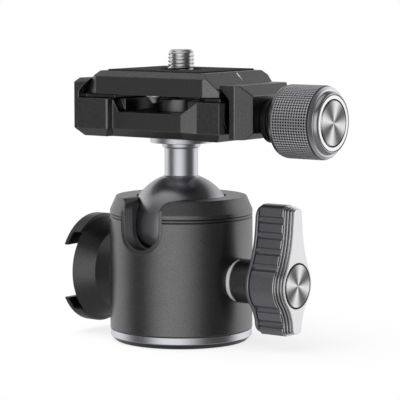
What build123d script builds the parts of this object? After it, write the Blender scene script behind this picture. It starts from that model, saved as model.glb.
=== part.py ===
from build123d import *
import os
from math import cos, pi, sin, sqrt

# A small ball head for a camera tripod, with a quick-release clamp and an accessory shoe.
# It stands on the middle of its base with Z up. The lock lever and the clamp's knob point along +X,
# the shoe along -X, and the notch that the neck drops into faces -Y. All sizes are in millimetres.

os.makedirs("parts", exist_ok=True)

# Fits and gaps
press = 0.02
fit = 0.05
seat_gap = 0.10
run_gap = 0.30
overrun = 6.0

# Base
base_height = 2.8
base_inset = 0.1
base_bevel = 1.2
spigot_length = 4.0
reducer_radius = 4.76
tripod_thread_radius = 3.175
reducer_slot_width = 1.2
reducer_slot_depth = 1.0

# Housing, round the ball
housing_wall = 3.4
bore_clear = 1.2
rim_rise = 7.1
rim_bevel_width = 1.45
rim_bevel_height = 3.3
edge_break = 0.2
groove_drop = 5.05
groove_width = 0.22
groove_pitch = 0.69
groove_depth = 0.3
lip_thickness = 1.4
lip_gap = 0.35

# Ball and stem
ball_radius = 12.4
ball_height = 27.4
neck_radius = 4.0
neck_margin = 0.6
neck_length = 7.2
step_width = 0.55
step_height = 1.0
flange_radius = 7.35
flange_height = 1.5
shank_radius = 3.0
shank_length = 8.0
spigot_radius = 3.6
stem_spigot_height = 1.6

# Drop notch
notch_width = 9.7
notch_clear = 0.5
notch_corner = 2.3
relief_width = 1.0
relief_depth = 0.4

# Ball seats
ring_height = 10.5
cup_drop = 5.4
cup_clear = 0.5
cup_hole_radius = 5.0
washer_thickness = 0.6
washer_rise = 1.5
washer_inner_radius = 6.5

# Ball lock: the stud pushes a wedge under the cup
lever_drop = 12.05
lock_travel = 0.27
pusher_radius = 3.4
pusher_length = 8.9
pusher_tip_thickness = 0.55
pusher_in_bush = 3.0
socket_depth = 2.4
socket_radius = 1.95
stud_radius = 2.5
stud_in_lever = 5.5
bush_reach = 1.2
bush_wall = 1.1
bush_flange_width = 0.5
bush_proud = 0.2

# Lock lever
boss_radius = 5.2
boss_length = 5.6
lever_hub_radius = 7.0
lever_root_width = 8.6
lever_tip_width = 5.1
lever_long_wing = 18.95
lever_short_wing = 12.2
lever_tip_corner = 2.0
lever_long_fillet = 24.0
lever_short_fillet = 9.0
lever_back_thickness = 0.9
lever_grip_thickness = 6.6
lever_grip_inset = 0.35
ridge_height = 0.7
ridge_step = 0.25
ridge_count = 3
lever_face_thickness = 0.35
lever_rim_width = 0.6
lever_ring_width = 0.2
lever_disc_proud = 0.1
flute_radius = 0.9
flute_depth = 0.7
flute_pitch = 3.58
flute_first_up = 4.4
flute_first_down = 5.5

# Accessory shoe
shoe_drop = 12.0
shoe_neck_radius = 9.45
shoe_neck_length = 1.9
shoe_disc_radius = 12.7
shoe_rail_step = 0.5
shoe_flare_length = 4.4
shoe_bevel = 0.4
shoe_slot_width = 18.7
shoe_slot_depth = 2.1
shoe_opening = 12.8
shoe_lip_thickness = 1.5
shoe_screw_spacing = 10.0
shoe_screw_radius = 1.25
shoe_screw_head_radius = 2.3
shoe_screw_head_height = 1.5

# Clamp body
clamp_left_wall = 2.45
clamp_right_wall = 1.35
clamp_end_margin = 0.5
clamp_bevel = 1.9
clamp_bevel_angle = 43.0
block_height = 9.1
recess_depth = 1.7
block_length = 10.1
recess_slant = 0.2
block_edge_bevel = 0.45
tower_length = 6.2
tower_slant = 5.9
bar_height = 6.0
pocket_margin = 1.7
rear_wall = 5.2
pocket_corner = 4.0
window_depth = 4.5
boss_height = 9.0
clamp_boss_wall = 1.75
land_height = 0.9
land_inset = 1.8
land_end_inset = 3.0
fixed_jaw_rise = 1.5
fixed_jaw_nose = 0.25
jaw_bevel = 1.0
lip_height = 2.2
undercut_depth = 0.9
centre_screw_radius = 2.5
centre_screw_head_radius = 4.2
centre_screw_head_height = 3.4
centre_screw_length = 12.5
socket_width = 4.0

# Camera plate
plate_half_width = 19.15
plate_half_length = 13.2
plate_thickness = 5.5
plate_edge = 1.4
plate_corner_x = 3.76
plate_corner_y = 1.44
plate_front_bevel = 1.35
pad_side_margin = 1.85
pad_end_margin = 2.0
pad_recess = 0.9
pad_proud = 0.35
pad_hole_clear = 0.7
camera_screw_radius = 3.175
camera_shank_step = 0.55
camera_screw_proud = 4.9
camera_screw_head_radius = 6.0
camera_screw_head_height = 2.4
camera_screw_bevel = 0.5
coin_slot_width = 1.5
coin_slot_depth = 1.2
clip_width = 1.3
clip_thickness = 0.6
stop_screw_margin = 2.8
stop_screw_head_radius = 2.15
stop_screw_head_height = 1.8
stop_screw_radius = 1.4
stop_screw_length = 3.0

# Movable jaw
jaw_gap = 0.55
jaw_thickness = 4.65
jaw_end_step = 2.95
jaw_corner = 3.15
jaw_rise = 0.7
jaw_top_bevel = 2.4
jaw_bottom_bevel = 1.4
jaw_bottom_drop = 0.6
pin_radius = 1.2
pin_margin = 1.75
jaw_travel = 3.5
pin_hold = 2.0
pin_in_jaw = 1.9
spring_pocket_clear = 0.45
spring_pocket_depth = 5.2
spring_radius = 2.1
spring_wire = 0.6
spring_turns = 4

# Clamp knob
clamp_screw_radius = 3.0
clamp_screw_set_back = 1.3
clamp_screw_in_knob = 7.3
knob_axis_rise = 4.7
sleeve_radius = 5.2
sleeve_length = 4.35
knob_radius = 8.5
knob_length = 10.2
knob_back_bevel = 0.3
knob_back_band = 0.9
knob_shoulder_step = 0.9
knob_shoulder_length = 0.9
knob_nose_step = 0.65
knob_nose_length = 1.2
knob_lip_width = 0.45
knob_ring_width = 1.0
knob_ring_bevel = 0.4
knob_disc_proud = 0.1

# Heights and places that follow from these sizes
bore_radius = ball_radius + bore_clear
body_radius = bore_radius + housing_wall
housing_top = ball_height + rim_rise
groove_height = housing_top - groove_drop
upper_groove = groove_height + groove_pitch
lever_height = ball_height - lever_drop
bush_radius = pusher_radius + bush_wall
bush_flange_radius = bush_radius + bush_flange_width
bush_flange_end = body_radius + bush_proud
bush_inner_end = bore_radius - bush_reach
pusher_tail = bush_inner_end + pusher_in_bush
pusher_tip = pusher_tail - pusher_length
shoe_height = ball_height - shoe_drop
shoe_neck_end = body_radius + shoe_neck_length
shoe_floor = shoe_neck_end + shoe_flare_length
shoe_rail_radius = shoe_disc_radius + shoe_rail_step
housing_seat = base_height
lip_bottom = housing_top - lip_thickness
rim_radius = body_radius - rim_bevel_width
ball_flat = ball_height + sqrt(ball_radius**2 - (neck_radius + neck_margin) ** 2)
step_bottom = ball_flat + neck_length
flange_bottom = step_bottom + step_height
clamp_bottom = flange_bottom + flange_height
notch_bottom = ball_height - neck_radius - notch_clear
bush_seat = sqrt(body_radius**2 - (bush_flange_radius + fit) ** 2) - fit
clamp_left = -plate_half_width - clamp_left_wall
clamp_right = plate_half_width + clamp_right_wall
clamp_half_length = plate_half_length + clamp_end_margin
block_end = clamp_left + block_length
bar_start = block_end + recess_slant
tower_start = clamp_right - tower_length
bar_end = tower_start - tower_slant
pocket_left = bar_start + pocket_margin
pocket_rear = clamp_half_length - rear_wall
clamp_boss_radius = centre_screw_head_radius + fit + clamp_boss_wall
block_top = clamp_bottom + block_height
bar_top = clamp_bottom + bar_height
plate_bottom = block_top + land_height + seat_gap
plate_top = plate_bottom + plate_thickness
plate_edge_top = plate_bottom + plate_edge
dovetail = plate_half_width + plate_edge_top + seat_gap
lip_tip = plate_edge_top + lip_height - plate_edge
fixed_jaw_top = lip_tip + fixed_jaw_rise
jaw_top = lip_tip + jaw_rise
jaw_half_length = clamp_half_length - jaw_end_step
pin_places = (pin_margin - jaw_half_length, jaw_half_length - pin_margin)
knob_height = clamp_bottom + knob_axis_rise
spring_seat = clamp_right - spring_pocket_depth
pin_start = spring_seat - jaw_travel - pin_hold
jaw_inner = clamp_right + jaw_gap
jaw_outer = jaw_inner + jaw_thickness
sleeve_start = jaw_outer + fit
knob_start = sleeve_start + sleeve_length
knob_end = knob_start + knob_length
clamp_screw_start = bar_end + clamp_screw_set_back
clamp_screw_end = knob_start + clamp_screw_in_knob
nose_start = knob_end + knob_shoulder_length
nose_end = nose_start + knob_nose_length
nose_radius = knob_radius - knob_shoulder_step
knob_lip_radius = nose_radius - knob_nose_step
knob_ring_outer = knob_lip_radius - knob_lip_width
knob_ring_inner = knob_ring_outer - knob_ring_width
lever_back = bush_flange_end + run_gap + boss_length
stud_end = lever_back + stud_in_lever


def rod(start, end, radius, height, across=0.0, mode=Mode.ADD):
    """A cylinder along X between two places, at a height and a distance across."""
    with Locations(Plane(origin=(start, across, height), x_dir=(0, 1, 0), z_dir=(1, 0, 0))):
        Cylinder(radius, end - start, align=(Align.CENTER, Align.CENTER, Align.MIN), mode=mode)


def post(bottom, top, radius, x=0.0, y=0.0, mode=Mode.ADD):
    """A cylinder along Z between two heights."""
    with Locations((x, y, bottom)):
        Cylinder(radius, top - bottom, align=(Align.CENTER, Align.CENTER, Align.MIN), mode=mode)


def block(low, high, mode=Mode.ADD):
    """A box between two opposite corners."""
    with Locations(low):
        size = [b - a for a, b in zip(low, high)]
        Box(*size, align=(Align.MIN, Align.MIN, Align.MIN), mode=mode)


def section(plane, points):
    """A flat face through the given points."""
    with BuildSketch(plane) as face:
        with BuildLine():
            Polyline(*points, close=True)
        make_face()
    return face.sketch


def notch_face(grow):
    """The notch seen from the front: a round bottom, straight sides and flared top corners."""
    half = notch_width / 2 + grow
    middle = notch_bottom - grow + half
    shoulder = housing_top - notch_corner
    with BuildSketch(Plane.XZ) as face:
        with Locations((0, middle)):
            Circle(half)
            Rectangle(2 * half, housing_top - middle, align=(Align.CENTER, Align.MIN))
        with Locations((0, shoulder)):
            Rectangle(2 * (half + notch_corner), notch_corner, align=(Align.CENTER, Align.MIN))
        with Locations((half + notch_corner, shoulder), (-half - notch_corner, shoulder)):
            Circle(notch_corner, mode=Mode.SUBTRACT)
    return face.sketch


def corner_cuts(x_end, x_start, y_end, y_start, bottom, top):
    """Triangular prisms that take the two corners off one end of a plate or jaw."""
    side = 1 if x_end > x_start else -1
    for way in (-1, 1):
        corner = [
            (x_start, way * (y_end + overrun)),
            (x_start, way * y_end),
            (x_end, way * y_start),
            (x_end + side * overrun, way * y_start),
            (x_end + side * overrun, way * (y_end + overrun)),
        ]
        extrude(section(Plane.XY.offset(bottom), corner), amount=top - bottom, mode=Mode.SUBTRACT)


# Base: a turned disc with a bevelled foot and a spigot that screws into the housing
base_radius = body_radius - base_inset
spigot_top = base_height + spigot_length
with BuildPart() as base_plate:
    with BuildSketch(Plane.XZ):
        with BuildLine():
            Polyline(
                (reducer_radius + press, 0),
                (base_radius - base_bevel, 0),
                (base_radius, base_bevel),
                (base_radius, base_height),
                (bore_radius - press, base_height),
                (bore_radius - press, spigot_top),
                (reducer_radius + press, spigot_top),
                close=True,
            )
        make_face()
    revolve(axis=Axis.Z)
base_plate.part.label = "base_plate"
export_step(base_plate.part, "parts/base_plate.step")

# Reducer bush: 3/8 inch outside, 1/4 inch inside, with a screwdriver slot across its foot
with BuildPart() as reducer_bush:
    post(0, spigot_top, reducer_radius)
    post(0, spigot_top + overrun, tripod_thread_radius, mode=Mode.SUBTRACT)
    block(
        (-reducer_radius, -reducer_slot_width / 2, 0),
        (reducer_radius, reducer_slot_width / 2, reducer_slot_depth),
        mode=Mode.SUBTRACT,
    )
reducer_bush.part.label = "reducer_bush"
export_step(reducer_bush.part, "parts/reducer_bush.step")

# Housing: a turned shell whose lip follows the ball, with the notch, the bush seat and the screw holes
shoe_screw_places = (-shoe_screw_spacing / 2, shoe_screw_spacing / 2)
with BuildPart() as notch_relief:
    extrude(notch_face(relief_width), amount=body_radius + overrun)
    post(0, housing_top + overrun, body_radius - relief_depth, mode=Mode.SUBTRACT)
with BuildPart() as housing:
    with BuildSketch(Plane.XZ):
        with BuildLine():
            Polyline(
                (bore_radius, housing_seat),
                (body_radius - edge_break, housing_seat),
                (body_radius, housing_seat + edge_break),
                (body_radius, groove_height),
                (body_radius - groove_depth, groove_height),
                (body_radius - groove_depth, groove_height + groove_width),
                (body_radius, groove_height + groove_width),
                (body_radius, upper_groove),
                (body_radius - groove_depth, upper_groove),
                (body_radius - groove_depth, upper_groove + groove_width),
                (body_radius, upper_groove + groove_width),
                (body_radius, housing_top - rim_bevel_height),
                (rim_radius, housing_top),
                (neck_radius, housing_top),
                (neck_radius, lip_bottom),
                (bore_radius, lip_bottom),
                close=True,
            )
        make_face()
    revolve(axis=Axis.Z)
    with Locations((0, 0, ball_height)):
        Sphere(ball_radius + lip_gap, mode=Mode.SUBTRACT)
    extrude(notch_face(0), amount=body_radius + overrun, mode=Mode.SUBTRACT)
    add(notch_relief.part, mode=Mode.SUBTRACT)
    rod(bush_seat, body_radius + overrun, bush_flange_radius + fit, lever_height, mode=Mode.SUBTRACT)
    rod(0, body_radius, bush_radius + press, lever_height, mode=Mode.SUBTRACT)
    for place in shoe_screw_places:
        rod(-body_radius - overrun, 0, shoe_screw_radius + press, shoe_height, place, mode=Mode.SUBTRACT)
housing.part.label = "housing"
export_step(housing.part, "parts/housing.step")

# Friction ring: the upper seat, held under the housing's lip and notched with it, with a straight sleeve
# below the ball's middle so that the ball goes in from below
ring_bottom = lip_bottom - ring_height
with BuildPart() as friction_ring:
    post(ring_bottom, lip_bottom, bore_radius - press)
    post(ring_bottom, ball_height, ball_radius + seat_gap, mode=Mode.SUBTRACT)
    with Locations((0, 0, ball_height)):
        Sphere(ball_radius + seat_gap, mode=Mode.SUBTRACT)
    extrude(notch_face(0), amount=body_radius + overrun, mode=Mode.SUBTRACT)
friction_ring.part.label = "friction_ring"
export_step(friction_ring.part, "parts/friction_ring.step")

# Wedge faces: one slope of 45 degrees under the cup and on top of the pusher
wedge_low = lever_height - pusher_radius
slope_start = wedge_low + pusher_tip_thickness
slope_rise = 3 * pusher_radius
slope_gap = fit
cup_slot_start = pusher_tip - run_gap
cup_slot_half = pusher_radius + run_gap


def above_slope(lift):
    """Everything above the wedge's slope, raised by a small lift, as a section seen from the front."""
    low = slope_start + lift
    return section(
        Plane.XZ,
        [
            (pusher_tip - overrun, low - overrun),
            (pusher_tip + slope_rise, low + slope_rise),
            (pusher_tip - overrun, low + slope_rise),
        ],
    )


# Cup: the lower seat, with a sloped slot for the wedge and room for the bush
cup_top = ball_height - cup_drop
cup_bottom = spigot_top + washer_thickness + washer_rise + cup_clear
with BuildPart() as cup_slot:
    block((cup_slot_start, -cup_slot_half, 0), (body_radius, cup_slot_half, cup_top))
    extrude(above_slope(slope_gap), amount=body_radius, both=True, mode=Mode.SUBTRACT)
with BuildPart() as ball_cup:
    post(cup_bottom, cup_top, bore_radius - run_gap)
    post(cup_bottom - overrun, cup_top, cup_hole_radius, mode=Mode.SUBTRACT)
    with Locations((0, 0, ball_height)):
        Sphere(ball_radius + seat_gap, mode=Mode.SUBTRACT)
    add(cup_slot.part, mode=Mode.SUBTRACT)
    bush_room = bush_radius + run_gap + lock_travel
    rod(bush_inner_end - run_gap, body_radius, bush_room, lever_height, mode=Mode.SUBTRACT)
ball_cup.part.label = "ball_cup"
export_step(ball_cup.part, "parts/ball_cup.step")

# Spring washer: a shallow open cone that stands on the base's spigot, with its gap under the wedge
washer_outer = bore_radius - run_gap
with BuildPart() as spring_washer:
    with BuildSketch(Plane.XZ):
        with BuildLine():
            Polyline(
                (washer_outer, spigot_top),
                (washer_outer, spigot_top + washer_thickness),
                (washer_inner_radius, spigot_top + washer_thickness + washer_rise),
                (washer_inner_radius, spigot_top + washer_rise),
                close=True,
            )
        make_face()
    revolve(axis=Axis.Z)
    add(cup_slot.part, mode=Mode.SUBTRACT)
spring_washer.part.label = "spring_washer"
export_step(spring_washer.part, "parts/spring_washer.step")

# Pusher: a round wedge with a socket for the stud's tip
with BuildPart() as lock_pusher:
    rod(pusher_tip, pusher_tail, pusher_radius, lever_height)
    extrude(above_slope(0), amount=body_radius, both=True, mode=Mode.SUBTRACT)
    rod(pusher_tail - socket_depth, pusher_tail, socket_radius + fit, lever_height, mode=Mode.SUBTRACT)
lock_pusher.part.label = "lock_pusher"
export_step(lock_pusher.part, "parts/lock_pusher.step")

# Lock bush: guides the pusher inside the wall and carries the stud's thread
bush_shoulder = pusher_tail + lock_travel + run_gap
with BuildPart() as lock_bush:
    rod(bush_inner_end, bush_seat, bush_radius, lever_height)
    rod(bush_seat, bush_flange_end, bush_flange_radius, lever_height)
    rod(bush_inner_end, bush_shoulder, pusher_radius + fit, lever_height, mode=Mode.SUBTRACT)
    rod(bush_inner_end, bush_flange_end, stud_radius + fit, lever_height, mode=Mode.SUBTRACT)
lock_bush.part.label = "lock_bush"
export_step(lock_bush.part, "parts/lock_bush.step")

# Lock stud: a dog point in the pusher and a thread through the bush into the lever
with BuildPart() as lock_stud:
    rod(pusher_tail - socket_depth + fit, pusher_tail + fit, socket_radius, lever_height)
    rod(pusher_tail + fit, stud_end, stud_radius, lever_height)
lock_stud.part.label = "lock_stud"
export_step(lock_stud.part, "parts/lock_stud.step")

# Lever boss: the dark collar between the bush and the lever
with BuildPart() as lever_boss:
    rod(bush_flange_end + run_gap, lever_back, boss_radius, lever_height)
    rod(bush_flange_end, lever_back, stud_radius + press, lever_height, mode=Mode.SUBTRACT)
    rim = lever_boss.edges().filter_by(GeomType.CIRCLE).group_by(Axis.X)[0].sort_by(SortBy.RADIUS)[-1]
    chamfer(rim, edge_break)
lever_boss.part.label = "lever_boss"
export_step(lever_boss.part, "parts/lever_boss.step")


def lever_outline(inset):
    """The lever seen along its axis: a round hub with a long wing up and a short wing down."""
    with BuildSketch() as outline:
        Circle(lever_hub_radius)
        for length, way in ((lever_long_wing, 1), (lever_short_wing, -1)):
            with BuildLine():
                Polyline(
                    (-lever_root_width / 2, 0),
                    (-lever_tip_width / 2, way * length),
                    (lever_tip_width / 2, way * length),
                    (lever_root_width / 2, 0),
                    close=True,
                )
            make_face()
        tips = outline.vertices().group_by(Axis.Y)
        fillet(tips[0] + tips[-1], lever_tip_corner)
        for root_fillet, way in ((lever_long_fillet, 1), (lever_short_fillet, -1)):
            roots = [v for v in outline.vertices() if Vector(v.X, v.Y).length < lever_hub_radius + press]
            fillet([v for v in roots if v.Y * way > press], root_fillet)
        if inset > 0:
            offset(amount=-inset, mode=Mode.REPLACE)
    return outline.sketch


def lever_layer(start, inset, thickness):
    """One slice of the lever along X."""
    place = Plane(origin=(start, 0, lever_height), x_dir=(0, 1, 0), z_dir=(1, 0, 0))
    extrude(place * lever_outline(inset), amount=thickness)


def flank(distance, length, root_fillet):
    """Half the lever's width at a distance from the axis along one wing: hub, fillet, then taper."""
    lean = (lever_tip_width - lever_root_width) / 2 / length
    slope = sqrt(1 + lean**2)
    outer = lever_root_width / 2 + root_fillet * slope
    reach = lever_hub_radius + root_fillet
    along = (sqrt(slope**2 * reach**2 - outer**2) - outer * lean) / slope**2
    if distance < along * lever_hub_radius / reach:
        return sqrt(lever_hub_radius**2 - distance**2)
    if distance < along + root_fillet * lean / slope:
        return outer + lean * along - sqrt(root_fillet**2 - (distance - along) ** 2)
    return lever_root_width / 2 + lean * distance


# Lever grip: a thin back, a fluted middle and stepped ridges below the face
grip_start = lever_back + lever_back_thickness
ridge_start = grip_start + lever_grip_thickness
face_start = ridge_start + ridge_count * ridge_height
face_inset = lever_grip_inset + ridge_count * ridge_step
flutes = []
for first, length, root_fillet, way in (
    (flute_first_up, lever_long_wing, lever_long_fillet, 1),
    (flute_first_down, lever_short_wing, lever_short_fillet, -1),
):
    count = int((length - first - flute_radius) / flute_pitch) + 1
    for index in range(count):
        along = first + index * flute_pitch
        out = flank(along, length, root_fillet) - lever_grip_inset + flute_radius - flute_depth
        flutes.append((way * along, out))
with BuildPart() as lever_grip:
    lever_layer(lever_back, 0, lever_back_thickness)
    lever_layer(grip_start, lever_grip_inset, lever_grip_thickness)
    for step in range(ridge_count):
        inset = lever_grip_inset + step * ridge_step
        lever_layer(ridge_start + step * ridge_height, inset, ridge_height)
    for along, out in flutes:
        for side in (-out, out):
            rod(grip_start, ridge_start, flute_radius, lever_height + along, side, mode=Mode.SUBTRACT)
    rod(lever_back, stud_end + run_gap, stud_radius + press, lever_height, mode=Mode.SUBTRACT)
lever_grip.part.label = "lever_grip"
export_step(lever_grip.part, "parts/lever_grip.step")

# Lever face, ring and disc
ring_outer = lever_hub_radius - face_inset - lever_rim_width
lever_disc_radius = ring_outer - lever_ring_width - press
face_end = face_start + lever_face_thickness
cap_end = face_end + lever_disc_proud
with BuildPart() as lever_face:
    lever_layer(face_start, face_inset, lever_face_thickness)
    rod(face_start, face_end, ring_outer + press, lever_height, mode=Mode.SUBTRACT)
lever_face.part.label = "lever_face"
export_step(lever_face.part, "parts/lever_face.step")

with BuildPart() as lever_ring:
    rod(face_start, cap_end, ring_outer, lever_height)
    rod(face_start, cap_end, lever_disc_radius + press, lever_height, mode=Mode.SUBTRACT)
lever_ring.part.label = "lever_ring"
export_step(lever_ring.part, "parts/lever_ring.step")

with BuildPart() as lever_disc:
    rod(face_start, cap_end, lever_disc_radius, lever_height)
    outer_rim = lever_disc.edges().filter_by(GeomType.CIRCLE).sort_by(Axis.X)[-1]
    chamfer(outer_rim, lever_disc_proud)
lever_disc.part.label = "lever_disc"
export_step(lever_disc.part, "parts/lever_disc.step")

# Accessory shoe: a flared disc with two hooked rails, saddled on the housing
shoe_end = shoe_floor + shoe_slot_depth + shoe_lip_thickness
shoe_neck_start = sqrt(body_radius**2 - shoe_neck_radius**2) - run_gap
head_depth = shoe_screw_head_height + press
with BuildPart() as cold_shoe:
    with BuildSketch(Plane.XZ):
        with BuildLine():
            Polyline(
                (-shoe_neck_start, shoe_height),
                (-shoe_neck_start, shoe_height + shoe_neck_radius),
                (-shoe_neck_end, shoe_height + shoe_neck_radius),
                (-shoe_floor + shoe_bevel, shoe_height + shoe_disc_radius - shoe_bevel),
                (-shoe_floor, shoe_height + shoe_disc_radius),
                (-shoe_floor, shoe_height + shoe_rail_radius),
                (-shoe_end + shoe_bevel, shoe_height + shoe_rail_radius),
                (-shoe_end, shoe_height + shoe_rail_radius - shoe_bevel),
                (-shoe_end, shoe_height),
                close=True,
            )
        make_face()
    revolve(axis=Axis((0, 0, shoe_height), (1, 0, 0)))
    slot_half = shoe_slot_width / 2
    block(
        (-shoe_floor - shoe_slot_depth, -shoe_rail_radius - overrun, shoe_height - slot_half),
        (-shoe_floor, shoe_rail_radius + overrun, shoe_height + slot_half),
        mode=Mode.SUBTRACT,
    )
    block(
        (-shoe_end - overrun, -shoe_rail_radius - overrun, shoe_height - shoe_opening / 2),
        (-shoe_floor, shoe_rail_radius + overrun, shoe_height + shoe_opening / 2),
        mode=Mode.SUBTRACT,
    )
    post(0, 2 * housing_top, body_radius + press, mode=Mode.SUBTRACT)
    for place in shoe_screw_places:
        rod(-shoe_floor, 0, shoe_screw_radius + press, shoe_height, place, mode=Mode.SUBTRACT)
        head_room = shoe_screw_head_radius + press
        rod(-shoe_floor, -shoe_floor + head_depth, head_room, shoe_height, place, mode=Mode.SUBTRACT)
cold_shoe.part.label = "cold_shoe"
export_step(cold_shoe.part, "parts/cold_shoe.step")

# Shoe screws: cap screws sunk in the slot's floor, threaded into the housing's wall
with BuildPart() as shoe_screws:
    head_end = -shoe_floor + shoe_screw_head_height
    for place in shoe_screw_places:
        rod(-shoe_floor, head_end, shoe_screw_head_radius, shoe_height, place)
        rod(head_end, -bore_radius, shoe_screw_radius, shoe_height, place)
        rod(-shoe_floor, head_end - edge_break, shoe_screw_radius, shoe_height, place, mode=Mode.SUBTRACT)
shoe_screws.part.label = "shoe_screws"
export_step(shoe_screws.part, "parts/shoe_screws.step")

# Ball: a sphere with a flat and a bore for the stem's shank
with BuildPart() as ball:
    with Locations((0, 0, ball_height)):
        Sphere(ball_radius)
    split(bisect_by=Plane.XY.offset(ball_flat), keep=Keep.BOTTOM)
    post(ball_flat - shank_length - run_gap, ball_flat + overrun, shank_radius + fit, mode=Mode.SUBTRACT)
ball.part.label = "ball"
export_step(ball.part, "parts/ball.step")

# Stem: shank, neck, step, flange and a spigot that centres the clamp, with a tapped hole
spigot_height = clamp_bottom + stem_spigot_height
centre_screw_seat = clamp_bottom + boss_height - centre_screw_head_height - run_gap
centre_screw_end = centre_screw_seat - centre_screw_length
with BuildPart() as stem:
    post(ball_flat - shank_length, ball_flat, shank_radius)
    post(ball_flat, step_bottom, neck_radius)
    post(step_bottom, flange_bottom, neck_radius + step_width)
    post(flange_bottom, clamp_bottom, flange_radius)
    post(clamp_bottom, spigot_height, spigot_radius)
    post(centre_screw_end - run_gap, spigot_height, centre_screw_radius + press, mode=Mode.SUBTRACT)
stem.part.label = "stem"
export_step(stem.part, "parts/stem.step")

# Clamp body: blocks, recessed bar, pocket with a boss, fixed jaw and lands that carry the plate
bar_front = clamp_half_length - recess_depth
front_outline = [
    (clamp_left, -clamp_half_length),
    (block_end, -clamp_half_length),
    (bar_start, -bar_front),
    (bar_end, -bar_front),
    (tower_start, -clamp_half_length),
    (clamp_right, -clamp_half_length),
]
clamp_outline = front_outline + [(x, -y) for x, y in reversed(front_outline)]
jaw_wall = plate_edge_top - dovetail - undercut_depth
fixed_jaw_tip = fixed_jaw_top - fixed_jaw_nose
bevel_top = clamp_bottom + clamp_bevel
with BuildPart() as clamp_body:
    extrude(section(Plane.XY.offset(bevel_top), clamp_outline), amount=block_top - bevel_top)
    foot = section(Plane.XY.offset(bevel_top), clamp_outline)
    extrude(foot, amount=clamp_bevel, dir=(0, 0, -1), taper=clamp_bevel_angle)
    with BuildSketch(Plane.XY.offset(bar_top)):
        with BuildLine():
            Polyline(
                (pocket_left, -clamp_half_length - overrun),
                (pocket_left, pocket_rear),
                (bar_end, pocket_rear),
                (bar_end, -clamp_half_length - overrun),
                close=True,
            )
        make_face()
    extrude(amount=block_height, mode=Mode.SUBTRACT)
    rear_corners = clamp_body.edges().filter_by(Axis.Z).filter_by_position(Axis.Y, pocket_rear, pocket_rear)
    fillet(rear_corners, pocket_corner)
    for way in (-1, 1):
        block_edge = [
            (block_end - block_edge_bevel, way * clamp_half_length),
            (block_end, way * (clamp_half_length - block_edge_bevel)),
            (block_end, way * clamp_half_length),
        ]
        extrude(section(Plane.XY.offset(bevel_top), block_edge), amount=block_height, mode=Mode.SUBTRACT)
    right_slope = [(bar_end, bar_top), (tower_start, block_top), (bar_end, block_top)]
    left_slope = [(pocket_left, bar_top), (pocket_left, block_top), (bar_start, block_top)]
    window_back = Plane.XZ.offset(clamp_half_length - window_depth)
    for slope in (right_slope, left_slope):
        extrude(section(window_back, slope), amount=window_depth, mode=Mode.SUBTRACT)
    slot_width = stop_screw_head_radius + run_gap
    block((-slot_width, 0, bar_top), (slot_width, clamp_half_length, block_top), mode=Mode.SUBTRACT)
    post(bar_top, clamp_bottom + boss_height, clamp_boss_radius)
    fixed_jaw = [
        (clamp_left, block_top),
        (clamp_left, fixed_jaw_top - jaw_bevel),
        (clamp_left + jaw_bevel, fixed_jaw_top),
        (fixed_jaw_tip - dovetail, fixed_jaw_top),
        (fixed_jaw_tip - dovetail, fixed_jaw_tip),
        (jaw_wall, dovetail + jaw_wall),
        (jaw_wall, block_top),
    ]
    extrude(section(Plane.XZ, fixed_jaw), amount=clamp_half_length, both=True)
    chamfer(clamp_body.edges().filter_by(Axis.X).group_by(Axis.Z)[-1], jaw_bevel)
    land_half = clamp_half_length - land_end_inset
    land_top = block_top + land_height
    block((jaw_wall, -land_half, block_top), (block_end, land_half, land_top))
    block((tower_start, -land_half, block_top), (clamp_right - land_inset, land_half, land_top))
    post(clamp_bottom, spigot_height + run_gap, spigot_radius + press, mode=Mode.SUBTRACT)
    post(clamp_bottom, centre_screw_seat, centre_screw_radius + fit, mode=Mode.SUBTRACT)
    head_room = centre_screw_head_radius + fit
    post(centre_screw_seat, block_top + overrun, head_room, mode=Mode.SUBTRACT)
    rod(bar_end, clamp_right + overrun, clamp_screw_radius + fit, knob_height, mode=Mode.SUBTRACT)
    pocket_radius = spring_radius + spring_wire / 2 + spring_pocket_clear
    for place in pin_places:
        rod(pin_start - run_gap, clamp_right, pin_radius + fit, knob_height, place, mode=Mode.SUBTRACT)
        rod(spring_seat, clamp_right, pocket_radius, knob_height, place, mode=Mode.SUBTRACT)
clamp_body.part.label = "clamp_body"
export_step(clamp_body.part, "parts/clamp_body.step")

# Centre screw: a socket cap screw sunk in the clamp's boss
head_top = centre_screw_seat + centre_screw_head_height
with BuildPart() as centre_screw:
    post(centre_screw_end, centre_screw_seat, centre_screw_radius)
    post(centre_screw_seat, head_top, centre_screw_head_radius)
    with BuildSketch(Plane.XY.offset(head_top)):
        RegularPolygon(socket_width / 2, 6, major_radius=False)
    extrude(amount=-centre_screw_head_height / 2, mode=Mode.SUBTRACT)
centre_screw.part.label = "centre_screw"
export_step(centre_screw.part, "parts/centre_screw.step")

# Movable jaw: dovetail lip inside, sloped top outside and two large corner cuts
jaw_bottom = clamp_bottom + jaw_bottom_drop
with BuildPart() as movable_jaw:
    with BuildSketch(Plane.XZ):
        with BuildLine():
            Polyline(
                (jaw_inner, jaw_bottom),
                (jaw_inner, dovetail - jaw_inner),
                (dovetail - lip_tip, lip_tip),
                (dovetail - lip_tip, jaw_top),
                (jaw_outer - jaw_top_bevel, jaw_top),
                (jaw_outer, jaw_top - jaw_top_bevel),
                (jaw_outer, jaw_bottom + jaw_bottom_bevel),
                (jaw_outer - jaw_bottom_bevel, jaw_bottom),
                close=True,
            )
        make_face()
    extrude(amount=jaw_half_length, both=True)
    corner_cuts(
        jaw_outer, jaw_outer - jaw_corner, jaw_half_length, jaw_half_length - jaw_corner,
        jaw_bottom - overrun, jaw_top + overrun,
    )
    rod(jaw_inner - overrun, jaw_outer, clamp_screw_radius + run_gap, knob_height, mode=Mode.SUBTRACT)
    for place in pin_places:
        rod(jaw_inner, jaw_inner + pin_in_jaw, pin_radius + press, knob_height, place, mode=Mode.SUBTRACT)
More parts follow.
